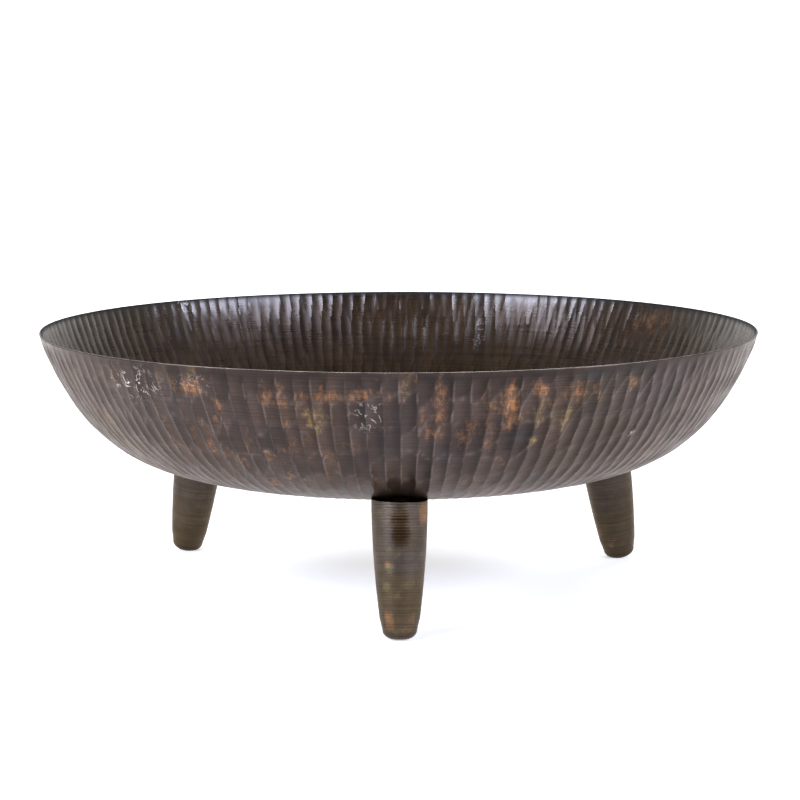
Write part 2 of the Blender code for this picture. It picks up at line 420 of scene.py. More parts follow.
@dataclass(frozen=True)
class HammeredPatina:
    """Dark brown-bronze patina over hammered sheet, rubbed to copper and brass, with fine spun lines, painted
    shade across each stroke and a painted dark band under the inner rim.
    """

    deep: Colour = (0.030, 0.020, 0.015)
    warm: Colour = (0.066, 0.040, 0.028)
    violet: Colour = (0.056, 0.041, 0.037)
    olive: Colour = (0.048, 0.036, 0.018)
    inner: Colour = (0.036, 0.0175, 0.0050)
    copper: Colour = (0.330, 0.150, 0.062)
    brass: Colour = (0.360, 0.240, 0.090)
    stain: Colour = (0.026, 0.027, 0.032)
    rim_shade: Colour = (0.010, 0.009, 0.008)
    # Near-black colour of the painted shade band under the inner rim.
    bare: Colour = (0.850, 0.780, 0.680)
    ridge: Colour = (0.230, 0.180, 0.150)
    low_down: Colour = (1.04, 0.94, 0.80)
    edge_on: Colour = (0.97, 0.90, 0.84)
    metallic: float = 0.84
    line_pitch: float = 0.0011

    def material(self) -> bpy.types.Material:
        """Builds the material, which reads the attributes that FireBowl writes.

        Returns:
            The material.
        """
        made, graph, shader = principled("hammered bronze patina")
        place = graph.place()
        arc = graph.attribute("arc")
        ridge = graph.attribute("ridge")
        tone = graph.attribute("tone")
        inside = graph.attribute("inside")
        lines = graph.group(Effect.TURNED_LINES, Place=place, Along=arc, Pitch=self.line_pitch)

        cloud = graph.span(graph.noise(place, 11.0, 5.0, 0.6), 0.32, 0.68)
        base = graph.mix(cloud, self.warm, self.violet)
        shade = graph.span(graph.noise(place, 26.0, 6.0, 0.66), 0.30, 0.72)
        base = graph.mix(shade * 0.60, base, self.deep)
        elsewhere = graph.shift(place, (4.0, 2.0, 9.0))
        green = graph.span(graph.noise(elsewhere, 8.0, 4.0, 0.6), 0.54, 0.72)
        base = graph.mix(green * 0.55, base, self.olive)
        base = graph.mix(inside * 0.86, base, self.inner)
        low = graph.span(arc, 0.05, 0.13) * (1.0 - inside)
        base = graph.mix(low, base, self.low_down, "MULTIPLY")
        by_stroke = graph.span(tone, 0.0, 1.0, 0.71, 1.14)
        base = graph.dim(base, by_stroke)
        # Painted shade across each hammer stroke: lighter on one flank, darker on the other, and darker within
        # about 13 mm of the rim.
        across = graph.span(graph.attribute("side"), -0.6, 1.0, 1.22, 0.58)
        across = across * graph.span(arc, 0.003, 0.013, 0.72, 1.0)

        flute = graph.span(tone, 0.25, 0.85, 0.35, 1.0)
        spot = graph.attribute(Rub.STAIN.value)
        stained = graph.group(Effect.PATCHES, Place=place, Spot=spot, Scale=45.0, Ragged=0.5)
        base = graph.mix(stained * 0.75, base, self.stain)
        base = graph.mix(self.rub(graph, place, Rub.COPPER, flute), base, self.copper)
        base = graph.mix(self.rub(graph, place, Rub.BRASS, flute) * 0.80, base, self.brass)

        crest = graph.math("POWER", ridge, 2.2)
        worn = graph.group(Effect.WORN_EDGE, Place=place, Edge=crest, Amount=0.40)
        base = graph.mix(worn * (1.0 - inside * 0.8), base, self.ridge)
        by_line = graph.span(lines, 0.0, 1.0, 0.82, 1.16)
        base = graph.dim(base, by_line)
        # Applies the painted shade across each stroke.
        base = graph.dim(base, across)
        # Painted shade: a near-black, matt band without coat on the inner face just under the rim.
        rim_shade = graph.attribute("rim_painted_shade")
        base = graph.mix(rim_shade, base, self.rim_shade)
        rim = graph.group(Effect.WORN_EDGE, Place=place, Edge=graph.attribute("rim"), Amount=0.60)
        base = graph.mix(rim, base, self.ridge)
        zone = graph.attribute(Rub.SCRATCH.value)
        bare = graph.group(Effect.SCRATCHES, Place=place, Zone=zone, Scale=165.0, Width=0.045)
        base = graph.mix(bare, base, self.bare)
        graph.feed(shader.inputs["Base Color"], base)

        metal = self.metallic - stained * 0.25 - inside * 0.52
        coat = graph.span(inside, 0.0, 1.0, 0.11, 0.74)
        graph.feed(shader.inputs["Coat Weight"], coat * (1.0 - rim_shade))
        graph.feed(shader.inputs["Metallic"], metal)
        rough = graph.span(graph.noise(place, 60.0, 5.0, 0.6), 0.2, 0.8, 0.28, 0.44)
        rough = rough + lines * 0.07 - inside * 0.08
        graph.feed(shader.inputs["Roughness"], graph.math("MAXIMUM", rough, rim_shade * 0.85))
        shader.inputs["Specular IOR Level"].default_value = 0.45
        shader.inputs["Specular Tint"].default_value = (*self.edge_on, 1.0)
        shader.inputs["Coat Roughness"].default_value = 0.20
        shader.inputs["Coat IOR"].default_value = 1.5

        pits = graph.noise(place, 900.0, 3.0, 0.6)
        soft = graph.noise(place, 120.0, 4.0, 0.6)
        height = lines * 0.55 + pits * 0.30 + soft * 0.9
        graph.feed(shader.inputs["Normal"], bump(graph, height, 0.00012, 0.75))
        return made

    def rub(self, graph: Graph, place: Wire, kind: Rub, flute: Wire) -> Wire:
        """Where the patina has rubbed through to a brighter metal.

        Args:
            graph: the material's graph.
            place: the point's place.
            kind: which metal shows.
            flute: how freely the stroke that the point lies in has rubbed.

        Returns:
            The mask, from 0 to 1.
        """
        shift = 2.0 if kind is Rub.COPPER else 7.0
        drift = graph.shift(place, (shift, shift, 0.0))
        strewn = graph.span(graph.noise(drift, 8.0, 3.0, 0.55), 0.42, 0.68, 0.0, 0.50) * flute
        strewn = strewn * graph.span(graph.attribute("inside"), 0.0, 1.0, 1.0, 0.35)
        spot = graph.math("MAXIMUM", graph.attribute(kind.value), strewn)
        x, y, z = graph.separate(place)
        tall = graph.combine(x, y, z * 0.35)
        ragged = graph.group(Effect.PATCHES, Place=tall, Spot=spot, Scale=75.0, Ragged=0.55)
        fine = graph.span(graph.noise(tall, 300.0, 4.0, 0.7), 0.34, 0.62, 0.35, 1.0)
        return ragged * fine


@dataclass(frozen=True)
class TurnedPatina:
    """Olive-bronze patina over a lathe-turned leg, with orange and yellow-green patches between its rings."""

    brown: Colour = (0.084, 0.059, 0.033)
    deep: Colour = (0.026, 0.0110, 0.0012)
    grey: Colour = (0.078, 0.060, 0.048)
    olive: Colour = (0.190, 0.165, 0.070)
    orange: Colour = (0.330, 0.160, 0.070)
    crest: Colour = (0.260, 0.200, 0.120)
    # Near-black painted shade for the bore, the top cut and the underside of the foot.
    hollow: Colour = (0.010, 0.008, 0.006)
    edge_on: Colour = (0.95, 0.87, 0.78)
    upper: tuple[float, float] = (0.040, 0.068)
    metallic: float = 0.90
    # Painted shade: a brightness factor for one leg's copy of this finish; the back legs take less than 1.
    shade: float = 1.0

    def material(self) -> bpy.types.Material:
        """Builds the material, which reads the attributes that TurnedLeg writes.

        Returns:
            The material.
        """
        made, graph, shader = principled(f"turned bronze patina {self.shade:.2f}")
        place = graph.place()
        along = graph.attribute("along")
        groove = graph.attribute("groove")
        lines = graph.group(Effect.TURNED_LINES, Place=place, Along=along, Pitch=0.0006)
        cloud = graph.span(graph.noise(place, 32.0, 5.0, 0.62), 0.34, 0.66, -0.35, 0.35)
        greyed = graph.span(along, *self.upper, 0.15, 0.85) + cloud
        base = graph.mix(graph.span(greyed, 0.0, 1.0), self.brown, self.grey)
        spot = graph.attribute(LegRub.STREAK.value)
        streak = graph.group(Effect.PATCHES, Place=place, Spot=spot, Scale=70.0, Ragged=0.25)
        base = graph.mix(streak * 0.95, base, self.deep)
        drift = graph.noise(graph.shift(place, (1.3, 0.4, 2.2)), 38.0, 5.0, 0.6)
        strewn = graph.span(drift, 0.56, 0.70, 0.0, 0.6)
        yellow = graph.math("MAXIMUM", strewn, graph.attribute(LegRub.YELLOW.value))
        yellow = graph.group(Effect.PATCHES, Place=place, Spot=yellow, Scale=110.0, Ragged=0.4)
        base = graph.mix(yellow * 0.60, base, self.olive)
        spot = graph.attribute(LegRub.ORANGE.value)
        drift = graph.noise(graph.shift(place, (5.0, 3.0, 1.0)), 30.0, 3.0, 0.5)
        warm = graph.math("MAXIMUM", spot, graph.span(drift, 0.60, 0.72, 0.0, 0.5))
        orange = graph.group(Effect.PATCHES, Place=place, Spot=warm, Scale=150.0, Ragged=0.5)
        base = graph.mix(orange * 0.60, base, self.orange)
        worn = graph.group(Effect.WORN_EDGE, Place=place, Edge=groove, Amount=0.22)
        base = graph.mix(worn, base, self.crest)
        by_line = graph.span(lines, 0.0, 1.0, 0.84, 1.14)
        base = graph.dim(base, by_line)
        patchy = graph.span(graph.noise(place, 55.0, 4.0, 0.6), 0.35, 0.65, 0.95, 0.72)
        quiet = graph.span(groove, 0.0, 1.0, 0.86 * self.shade, 1.02 * self.shade)
        quiet = quiet * graph.span(patchy, 0.72, 0.95, 0.92, 1.06)
        strong = graph.span(groove, 0.0, 1.0, 0.50 * self.shade, 1.40 * self.shade)
        by_groove = quiet + streak * (strong - quiet)
        base = graph.dim(base, by_groove)
        # Painted shade: the bore, the top cut and the underside of the foot take the near-black hollow colour.
        graph.feed(shader.inputs["Base Color"], graph.mix(graph.attribute("turned_and_unshaded"), self.hollow, base))
        shader.inputs["Metallic"].default_value = self.metallic
        shader.inputs["Specular Tint"].default_value = (*self.edge_on, 1.0)
        rough = graph.span(graph.noise(place, 90.0, 4.0, 0.6), 0.2, 0.8, 0.34, 0.50)
        graph.feed(shader.inputs["Roughness"], rough)
        pits = graph.noise(place, 1100.0, 3.0, 0.6)
        dents = graph.noise(place, 160.0, 3.0, 0.5)
        height = lines * 0.6 + pits * 0.35 + dents * 0.8
        graph.feed(shader.inputs["Normal"], bump(graph, height, 0.00012, 0.8))
        return made


@dataclass(frozen=True)
class GrateIron:
    """Matt black heat-proof coating on round bar, scaled, with rust at the welds and ash on top."""

    black: Colour = (0.018, 0.017, 0.016)
    scale: Colour = (0.060, 0.052, 0.047)
    rust: Colour = (0.150, 0.058, 0.022)
    ash: Colour = (0.300, 0.285, 0.265)

    def material(self) -> bpy.types.Material:
        """Builds the material, which reads the weld attribute where a piece has one.

        Returns:
            The material.
        """
        made, graph, shader = principled("black grate iron")
        place = graph.place()
        mottle = graph.span(graph.noise(place, 140.0, 6.0, 0.65), 0.42, 0.70)
        base = graph.mix(mottle * 0.8, self.black, self.scale)
        weld = graph.attribute("weld")
        strewn = graph.span(graph.noise(place, 45.0, 4.0, 0.6), 0.58, 0.74, 0.0, 0.55)
        spot = graph.math("MAXIMUM", weld, strewn)
        rusty = graph.group(Effect.PATCHES, Place=place, Spot=spot, Scale=180.0, Ragged=0.6)
        base = graph.mix(rusty * 0.6, base, self.rust)
        ash = graph.group(Effect.ASH, Place=place, Amount=0.35)
        graph.feed(shader.inputs["Base Color"], graph.mix(ash, base, self.ash))
        graph.feed(shader.inputs["Metallic"], 0.55 - rusty * 0.45)
        rough = graph.span(graph.noise(place, 200.0, 4.0, 0.6), 0.2, 0.8, 0.50, 0.72)
        graph.feed(shader.inputs["Roughness"], rough)
        height = graph.noise(place, 620.0, 4.0, 0.65) + rusty * 0.6
        graph.feed(shader.inputs["Normal"], bump(graph, height, 0.00018, 0.9))
        return made


@dataclass(frozen=True)
class FastenerZinc:
    """Dull zinc plating, smoked brown by fire where it faces the flames; a nearly black copy is painted shade
    on the parts hidden under the bowl.
    """

    name: str = "smoked zinc"
    zinc: Colour = (0.300, 0.295, 0.285)
    smoke_and_shade: Colour = (0.060, 0.046, 0.034)
    smoked: float = 0.6

    def material(self) -> bpy.types.Material:
        """Builds the material.

        Returns:
            The material.
        """
        made, graph, shader = principled(self.name)
        place = graph.place()
        cloud = graph.span(graph.noise(place, 170.0, 6.0, 0.65), 0.30, 0.66)
        haze = graph.math("ADD", cloud * 0.6, self.smoked - 0.3, clamp=True)
        base = graph.mix(haze, self.zinc, self.smoke_and_shade)
        spangle = graph.span(graph.noise(place, 900.0, 2.0, 0.5), 0.3, 0.7, 0.85, 1.15)
        base = graph.dim(base, spangle)
        graph.feed(shader.inputs["Base Color"], base)
        shader.inputs["Metallic"].default_value = 0.9
        graph.feed(shader.inputs["Roughness"], graph.span(haze, 0.0, 1.0, 0.36, 0.60))
        height = graph.noise(place, 1300.0, 3.0, 0.6)
        graph.feed(shader.inputs["Normal"], bump(graph, height, 0.00006, 0.7))
        return made


# ---------------------------------------------------------------- mesh helpers


def finish_piece(
    name: str,
    shape: bmesh.types.BMesh,
    finish: bpy.types.Material,
    body: Body,
    nodes: tuple[str, ...],
    smooth_angle: float = 40.0,
) -> bpy.types.Object:
    """Makes an object of a finished bmesh, and says what it rides on and stands for.

    Args:
        name: the piece's name.
        shape: the mesh, which is freed.
        finish: the material.
        body: the moving body that it rides on.
        nodes: the CAD nodes that it stands for.
        smooth_angle: edges sharper than this many degrees stay crisp.

    Returns:
        The object.
    """
    mesh = bpy.data.meshes.new(name)
    shape.to_mesh(mesh)
    shape.free()
    mesh.materials.append(finish)
    mesh.shade_smooth()
    mesh.set_sharp_from_angle(angle=math.radians(smooth_angle))
    piece = bpy.data.objects.new(name, mesh)
    bpy.context.scene.collection.objects.link(piece)
    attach(piece, body.value)
    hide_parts(*nodes)
    faces = len(mesh.polygons)
    LOG.info("%s: %d faces, rides on %s, stands for %s", name, faces, body.value, ", ".join(nodes))
    return piece


def chain(shape: bmesh.types.BMesh, points: list[tuple[float, float]], closed: bool = False) -> list:
    """Adds a chain of edges in the local XZ plane.

    Args:
        shape: the bmesh to add to.
        points: (radius, height) pairs.
        closed: whether the last point joins the first.

    Returns:
        The new vertices and edges.
    """
    verts = [shape.verts.new((radius, 0, height)) for radius, height in points]
    pairs = list(zip(verts, verts[1:]))
    if closed:
        pairs.append((verts[-1], verts[0]))
    return verts + [shape.edges.new(pair) for pair in pairs]


def spin_round(shape: bmesh.types.BMesh, geometry: list, steps: int) -> None:
    """Spins a chain a full turn about the local Z axis, and closes its seam and poles.

    Args:
        shape: the bmesh that the chain is in.
        geometry: the chain's vertices and edges.
        steps: how many steps there are round the turn.
    """
    bmesh.ops.spin(
        shape,
        geom=geometry,
        cent=(0, 0, 0),
        axis=(0, 0, 1),
        dvec=(0, 0, 0),
        angle=FULL_TURN,
        steps=steps,
        use_merge=True,
        use_normal_flip=False,
        use_duplicate=False,
    )
    close_up(shape)


def close_up(shape: bmesh.types.BMesh) -> None:
    """Joins the vertices that lie on one another, and turns every face outwards."""
    bmesh.ops.remove_doubles(shape, verts=shape.verts, dist=SAME_PLACE)
    bmesh.ops.recalc_face_normals(shape, faces=shape.faces)


def eased(value: np.ndarray, low: float, high: float) -> np.ndarray:
    """A smooth step from 0 at low to 1 at high."""
    share = np.clip((value - low) / (high - low), 0.0, 1.0)
    return share * share * (3.0 - 2.0 * share)


def write_attribute(mesh: bpy.types.Mesh, name: str, values: np.ndarray) -> None:
    """Stores a number on each vertex of a mesh."""
    layer = mesh.attributes.new(name, "FLOAT", "POINT")
    layer.data.foreach_set("value", values.astype(np.float32))


# ---------------------------------------------------------------- the bowl


@dataclass(frozen=True)
class BowlForm:
    """The bowl's turned form: a superellipse side over a nearly flat bottom."""

    rim_radius: float = 0.330
    rim_height: float = 0.238
    depth: float = 0.132
    wall: float = 0.002
    plan_power: float = 6.0
    depth_power: float = 1.1

    def height(self, radius: float) -> float:
        """The height of the outer face at a radius."""
        fall = 1 - min(radius / self.rim_radius, 1.0) ** self.plan_power
        return self.rim_height - self.depth * fall ** (1 / self.depth_power)

    def outline(self) -> tuple[np.ndarray, np.ndarray, np.ndarray]:
        """The outer outline from the rim down to the axis.

        Returns:
            The distance down the side, the radius and the height, at many points.
        """
        angle = np.linspace(math.pi / 2, 0.0, 6001)
        radius = self.rim_radius * np.sin(angle) ** (2 / self.plan_power)
        height = self.rim_height - self.depth * np.cos(angle) ** (2 / self.depth_power)
        steps = np.hypot(np.diff(radius), np.diff(height))
        return np.concatenate(([0.0], np.cumsum(steps))), radius, height


@dataclass(frozen=True)
class RubMark:
    """A spot where handling or fire has changed the bowl's patina.

    Attributes:
        kind: how the patina has changed.
        bearing: degrees round from the front of the bowl.
        drop: how far down the side it lies.
        width: its size round the bowl.
        tall: its size down the side.
        strength: how strongly it shows.
        inside: whether it is on the inner face.
    """

    kind: Rub
    bearing: float
    drop: float
    width: float
    tall: float
    strength: float = 1.0
    inside: bool = False


@dataclass(frozen=True)
class Struck:
    """The hammered surface at many points.

    Attributes:
        lift: the height in stroke depths; -1 is a stroke's bottom.
        gap: how far above the lowest stroke the next one lies; 0 is a ridge.
        slope: how fast that gap changes with each stroke round the bowl.
        side: where the point lies across the lowest stroke, from -1 to 1.
        tone: the lowest stroke's own shade.
    """

    lift: np.ndarray
    gap: np.ndarray
    slope: np.ndarray
    side: np.ndarray
    tone: np.ndarray


@dataclass(frozen=True)
class HammerWork:
    """The hammer strokes: rows of long upright hollows that lie side by side and meet in sharp ridges.

    The smith's spacing drifts: it is widest at the front and closest at the back. Each row stands partly
    between the strokes of the row above, by an amount that drifts round the bowl too.
    """

    strokes: int = 160
    drift: float = 2.86
    first_row: float = 0.0090
    row_pitch: float = 0.029
    rows: int = 7
    depth: float = 0.00105
    raised: float = 0.45
    end_rise: float = 0.20
    sideways: float = 0.08
    up_down: float = 0.0050
    plain_band: tuple[float, float] = (0.002, 0.012)
    fade_out: tuple[float, float] = (0.165, 0.215)
    crest: float = 0.16
    inner_rim: float = 0.35
    flat_power: float = 1.3
    full_marks: float = 1.6
    wave: tuple[float, float] = (0.0002, 0.00015)
    wave_fade: tuple[float, float] = (0.06, 0.12)
    seed: int = 11

    def between(self, row: int, turn: np.ndarray) -> np.ndarray:
        """How far a row stands round from the row above.

        Args:
            row: the row's number, from 1.
            turn: each point's bearing, from 0 to 1 round the bowl.

        Returns:
            That shift in strokes at each point.
        """
        rate, start, most = ((1, 0.70, 0.5), (2, 2.1, 0.3), (1, 0.3, 0.4), (3, 3.0, 0.3))[(row - 1) % 4]
        return most * (0.5 + 0.5 * np.sin(turn * FULL_TURN * rate + start))

    def strike(self, turn: np.ndarray, arc: np.ndarray) -> Struck:
        """Works out the hammered surface.

        Args:
            turn: each point's bearing, from 0 to 1 round the bowl.
            arc: each point's distance down the side.

        Returns:
            The surface at each point.
        """
        draw = np.random.default_rng(self.seed)
        best, second = np.full(turn.shape, 9.0), np.full(turn.shape, 9.0)
        pull_best, pull_second, tone = (np.zeros(turn.shape) for _ in range(3))
        paced = turn * self.strokes - self.drift * np.cos(turn * FULL_TURN)
        shifted = np.zeros(turn.shape)
        for row in range(self.rows):
            aside = draw.uniform(-self.sideways, self.sideways, self.strokes)
            shift = draw.uniform(-self.up_down, self.up_down, self.strokes)
            force = draw.uniform(0.75, 1.2, self.strokes)
            tones = draw.uniform(0.0, 1.0, self.strokes)
            if row:
                shifted = shifted + self.between(row, turn)
            wobble = 0.003 * np.sin(turn * FULL_TURN * (2 + row % 3) + row * 1.7)
            stand = paced - shifted
            nearest = np.floor(stand)
            for step in (-1, 0, 1):
                index = np.mod(nearest + step, self.strokes).astype(int)
                across = stand - (nearest + step + 0.5) - aside[index]
                centre = self.first_row + row * self.row_pitch + wobble + shift[index]
                down = (arc - centre) / (self.row_pitch / 2)
                value = force[index] * (4.0 * across**2 - 1.0) + self.end_rise * down**2
                pull = 8.0 * force[index] * across
                nearer = value < best
                middle = ~nearer & (value < second)
                pull_second = np.where(nearer, pull_best, np.where(middle, pull, pull_second))
                second = np.where(nearer, best, np.where(middle, value, second))
                tone = np.where(nearer, tones[index], tone)
                pull_best = np.where(nearer, pull, pull_best)
                best = np.where(nearer, value, best)
        side = np.clip(pull_best / 4.0, -1.0, 1.0)
        return Struck(np.minimum(best, 0.4), second - best, pull_second - pull_best, side, tone)

    def snap(self, turn: np.ndarray, arc: np.ndarray, reach: float) -> np.ndarray:
        """Moves the points that are next to a ridge round on to it, so that the ridge comes out sharp.

        Args:
            turn: each point's bearing, from 0 to 1 round the bowl.
            arc: each point's distance down the side.
            reach: how far a point may move, as a share of the full turn.

        Returns:
            The new bearings.
        """
        for _ in range(2):
            struck = self.strike(turn, arc)
            slope = np.where(np.abs(struck.slope) < 1.0, 1.0, struck.slope)
            move = -struck.gap / slope / self.strokes
            turn = turn + np.where((np.abs(move) < reach) & (np.abs(struck.slope) > 1.0), move, 0.0)
        return turn


@dataclass
class FireBowl:
    """The hammered bowl, one closed shell, left smooth where the legs meet it."""

    pads: list[tuple[float, float]]
    form: BowlForm = BowlForm()
    work: HammerWork = HammerWork()
    spun_steps: int = 160
    fine_cuts: int = 6
    outer_step: float = 0.0048
    inner_step: float = 0.0066
    worked_arc: float = 0.206
    bottom_rings: int = 3
    rim_round: float = 0.0005
    sharp_angle: float = 8.0
    pad_radius: tuple[float, float] = (0.0265, 0.038)
    marks: tuple[RubMark, ...] = (
        RubMark(Rub.COPPER, -32.0, 0.020, 0.030, 0.018, 1.0),
        RubMark(Rub.COPPER, -28.5, 0.042, 0.022, 0.040, 0.72),
        RubMark(Rub.COPPER, -18.5, 0.024, 0.040, 0.026, 0.62),
        RubMark(Rub.COPPER, -11.0, 0.022, 0.034, 0.016, 0.90),
        RubMark(Rub.COPPER, -4.0, 0.020, 0.050, 0.014, 0.60),
        RubMark(Rub.COPPER, 5.5, 0.038, 0.022, 0.060, 0.62),
        RubMark(Rub.COPPER, 10.5, 0.056, 0.024, 0.050, 0.62),
        RubMark(Rub.COPPER, 16.5, 0.032, 0.018, 0.046, 0.98),
        RubMark(Rub.COPPER, 20.0, 0.018, 0.022, 0.016, 0.85),
        RubMark(Rub.COPPER, 27.0, 0.022, 0.040, 0.022, 0.70),
        RubMark(Rub.COPPER, 36.0, 0.018, 0.020, 0.014, 0.62),
        RubMark(Rub.COPPER, -28.0, 0.100, 0.022, 0.024, 0.60),
        RubMark(Rub.COPPER, -24.0, 0.124, 0.024, 0.024, 0.55),
        RubMark(Rub.COPPER, 12.0, 0.118, 0.030, 0.016, 0.42),
        RubMark(Rub.COPPER, -2.0, 0.140, 0.016, 0.022, 0.50),
        RubMark(Rub.COPPER, 128.0, 0.020, 0.060, 0.030, 0.55, True),
        RubMark(Rub.BRASS, 25.5, 0.048, 0.010, 0.024, 0.85),
        RubMark(Rub.BRASS, 21.5, 0.068, 0.014, 0.014, 0.70),
        RubMark(Rub.BRASS, -22.0, 0.060, 0.012, 0.020, 0.45),
        RubMark(Rub.BRASS, 205.0, 0.050, 0.030, 0.030, 0.60),
        RubMark(Rub.COPPER, 160.0, 0.035, 0.050, 0.024, 0.80),
        RubMark(Rub.COPPER, 236.0, 0.070, 0.040, 0.030, 0.70),
        RubMark(Rub.STAIN, 28.5, 0.008, 0.034, 0.012, 1.0),
        RubMark(Rub.STAIN, -7.5, 0.010, 0.020, 0.010, 0.80),
        RubMark(Rub.STAIN, 18.5, 0.062, 0.022, 0.026, 0.75),
        RubMark(Rub.STAIN, 7.0, 0.085, 0.040, 0.018, 0.70),
        RubMark(Rub.STAIN, -38.0, 0.050, 0.030, 0.030, 0.60),
        RubMark(Rub.STAIN, 190.0, 0.020, 0.050, 0.030, 0.80),
        RubMark(Rub.SCRATCH, -43.5, 0.022, 0.040, 0.020, 1.0),
        RubMark(Rub.SCRATCH, -31.0, 0.014, 0.020, 0.006, 0.9),
        RubMark(Rub.SCRATCH, -4.5, 0.040, 0.018, 0.018, 0.8),
        RubMark(Rub.SCRATCH, 40.0, 0.070, 0.010, 0.008, 0.8),
        RubMark(Rub.SCRATCH, 164.0, 0.045, 0.008, 0.022, 0.55, True),
        RubMark(Rub.SCRATCH, 222.0, 0.006, 0.016, 0.010, 0.9, True),
    )

    def build(self, finish: bpy.types.Material) -> bpy.types.Object:
        """Builds the bowl.

        Args:
            finish: its material.

        Returns:
            The bowl.
        """
        shape = bmesh.new()
        arc_layer = shape.verts.layers.float.new("arc")
        side_layer = shape.verts.layers.float.new("inside")
        arcs, radii, heights = self.form.outline()
        outer = self.stations(self.outer_step, arcs[-1])
        inner = self.stations(self.inner_step, arcs[-1])
        run = [(arc, 0.0) for arc in outer[::-1]] + [(arc, 1.0) for arc in inner]
        points = []
        for arc, side in run:
            radius, height, out, down = self.section(arc, arcs, radii, heights)
            inset = self.form.wall * side
            if arc < self.rim_round:
                inset += self.rim_round * (1 - 2 * side)
            points.append((max(radius - inset * out, 0.0), height + inset * down))
        geometry = chain(shape, points)
        for vert, (arc, side) in zip(geometry, run):
            vert[arc_layer] = arc
            vert[side_layer] = side
        spin_round(shape, geometry, self.spun_steps)
        rounds = []
        for edge in shape.edges:
            start, end = edge.verts
            if max(abs(start.co.z - end.co.z), abs(start[arc_layer] - end[arc_layer])) < SAME_LEVEL:
                rounds.append(edge)
        bmesh.ops.subdivide_edges(shape, edges=rounds, cuts=self.fine_cuts, use_grid_fill=True)
        piece = finish_piece("hammered_bowl", shape, finish, Body.BOWL, ("bowl",), 180.0)
        self.hammer(piece.data, arcs, radii, heights)
        piece.data.set_sharp_from_angle(angle=math.radians(self.sharp_angle))
        return piece

    def stations(self, step: float, end: float) -> list[float]:
        """The distances down the side at which the shell has a ring of vertices.

        Args:
            step: the distance from ring to ring over the hammered part.
            end: the distance from the rim to the axis.

        Returns:
            The distances, from the rim down.
        """
        worked = list(np.arange(0.0, self.worked_arc, step))
        worked.insert(1, self.rim_round)
        rest = np.linspace(self.worked_arc, end, self.bottom_rings + 1)
        return worked + list(rest)

    def section(
        self, arc: float, arcs: np.ndarray, radii: np.ndarray, heights: np.ndarray
    ) -> tuple[float, float, float, float]:
        """The outer outline at one distance down the side.

        Args:
            arc: the distance.
            arcs: the outline's distances down the side.
            radii: the outline's radii.
            heights: the outline's heights.

        Returns:
            The radius, the height, and how far the outward normal points out and down.
        """
        near, at, far = (
            [float(np.interp(spot, arcs, numbers)) for numbers in (radii, heights)]
            for spot in (arc - 0.001, arc, arc + 0.001)
        )
        run, fall = near[0] - far[0], near[1] - far[1]
        size = math.hypot(run, fall)
        return at[0], at[1], fall / size, run / size

    def hammer(self, mesh: bpy.types.Mesh, arcs: np.ndarray, radii: np.ndarray, heights: np.ndarray) -> None:
        """Moves the shell's vertices to the hammered surface, and writes what the finish reads.

        Args:
            mesh: the smooth shell.
            arcs: the outline's distances down the side.
            radii: the outline's radii.
            heights: the outline's heights.
        """
        count = len(mesh.vertices)
        places = np.empty(count * 3, dtype=np.float32)
        mesh.vertices.foreach_get("co", places)
        places = places.reshape(-1, 3).astype(np.float64)
        arc, inside = np.empty((2, count), dtype=np.float32)
        mesh.attributes["arc"].data.foreach_get("value", arc)
        mesh.attributes["inside"].data.foreach_get("value", inside)
        turn = np.mod(np.arctan2(places[:, 1], places[:, 0]) / FULL_TURN, 1.0)
        half = math.pi / self.spun_steps
        within = (np.mod(turn * self.spun_steps, 1.0) - 0.5) * 2 * half
        radius = np.hypot(places[:, 0], places[:, 1]) * np.cos(within) / math.cos(half)
        turn = self.work.snap(turn, arc, 0.52 / (self.spun_steps * (self.fine_cuts + 1)))
        places[:, 0] = radius * np.cos(turn * FULL_TURN)
        places[:, 1] = radius * np.sin(turn * FULL_TURN)
        work = self.work
        struck = work.strike(turn, arc)
        worked = eased(arc, *work.plain_band)
        shown = worked + work.inner_rim * inside * (1 - worked)
        shown *= 1 - eased(arc, *work.fade_out)
        shown *= np.clip(radius / self.form.rim_radius, 0.0, 1.0) ** work.flat_power
        for x, y in self.pads:
            shown *= eased(np.hypot(places[:, 0] - x, places[:, 1] - y), *self.pad_radius)
        wave = work.wave[0] * np.sin(turn * FULL_TURN * 5 + 1.0)
        wave = wave + work.wave[1] * np.sin(turn * FULL_TURN * 11 + arc * 40)
        move = work.depth * (struck.lift + work.raised) * shown
        move = move + wave * (1 - eased(arc, *work.wave_fade))

        middles = 0.5 * (arcs[1:] + arcs[:-1])
        slope_out = np.interp(arc, middles, -np.diff(heights) / np.diff(arcs))
        slope_down = np.interp(arc, middles, -np.diff(radii) / np.diff(arcs))
        safe = np.maximum(radius, 1e-6)
        places[:, 0] += move * slope_out * places[:, 0] / safe
        places[:, 1] += move * slope_out * places[:, 1] / safe
        places[:, 2] -= move * slope_down
        mesh.vertices.foreach_set("co", places.astype(np.float32).ravel())
        mesh.update()

        full = np.clip(shown * work.full_marks, 0.0, 1.0)
        write_attribute(mesh, "ridge", np.exp(-struck.gap / work.crest) * full)
        # side feeds the painted shade across each stroke in the finish.
        write_attribute(mesh, "side", struck.side * full)
        write_attribute(mesh, "tone", struck.tone)
        write_attribute(mesh, "rim", (1 - eased(arc, 0.0001, 0.0006)) * (1 - inside))
        # Marks the painted shade band on the inner face just under the rim.
        write_attribute(mesh, "rim_painted_shade", inside * (1 - eased(arc, 0.0007, 0.0020)))
        self.write_marks(mesh, turn, arc, inside)

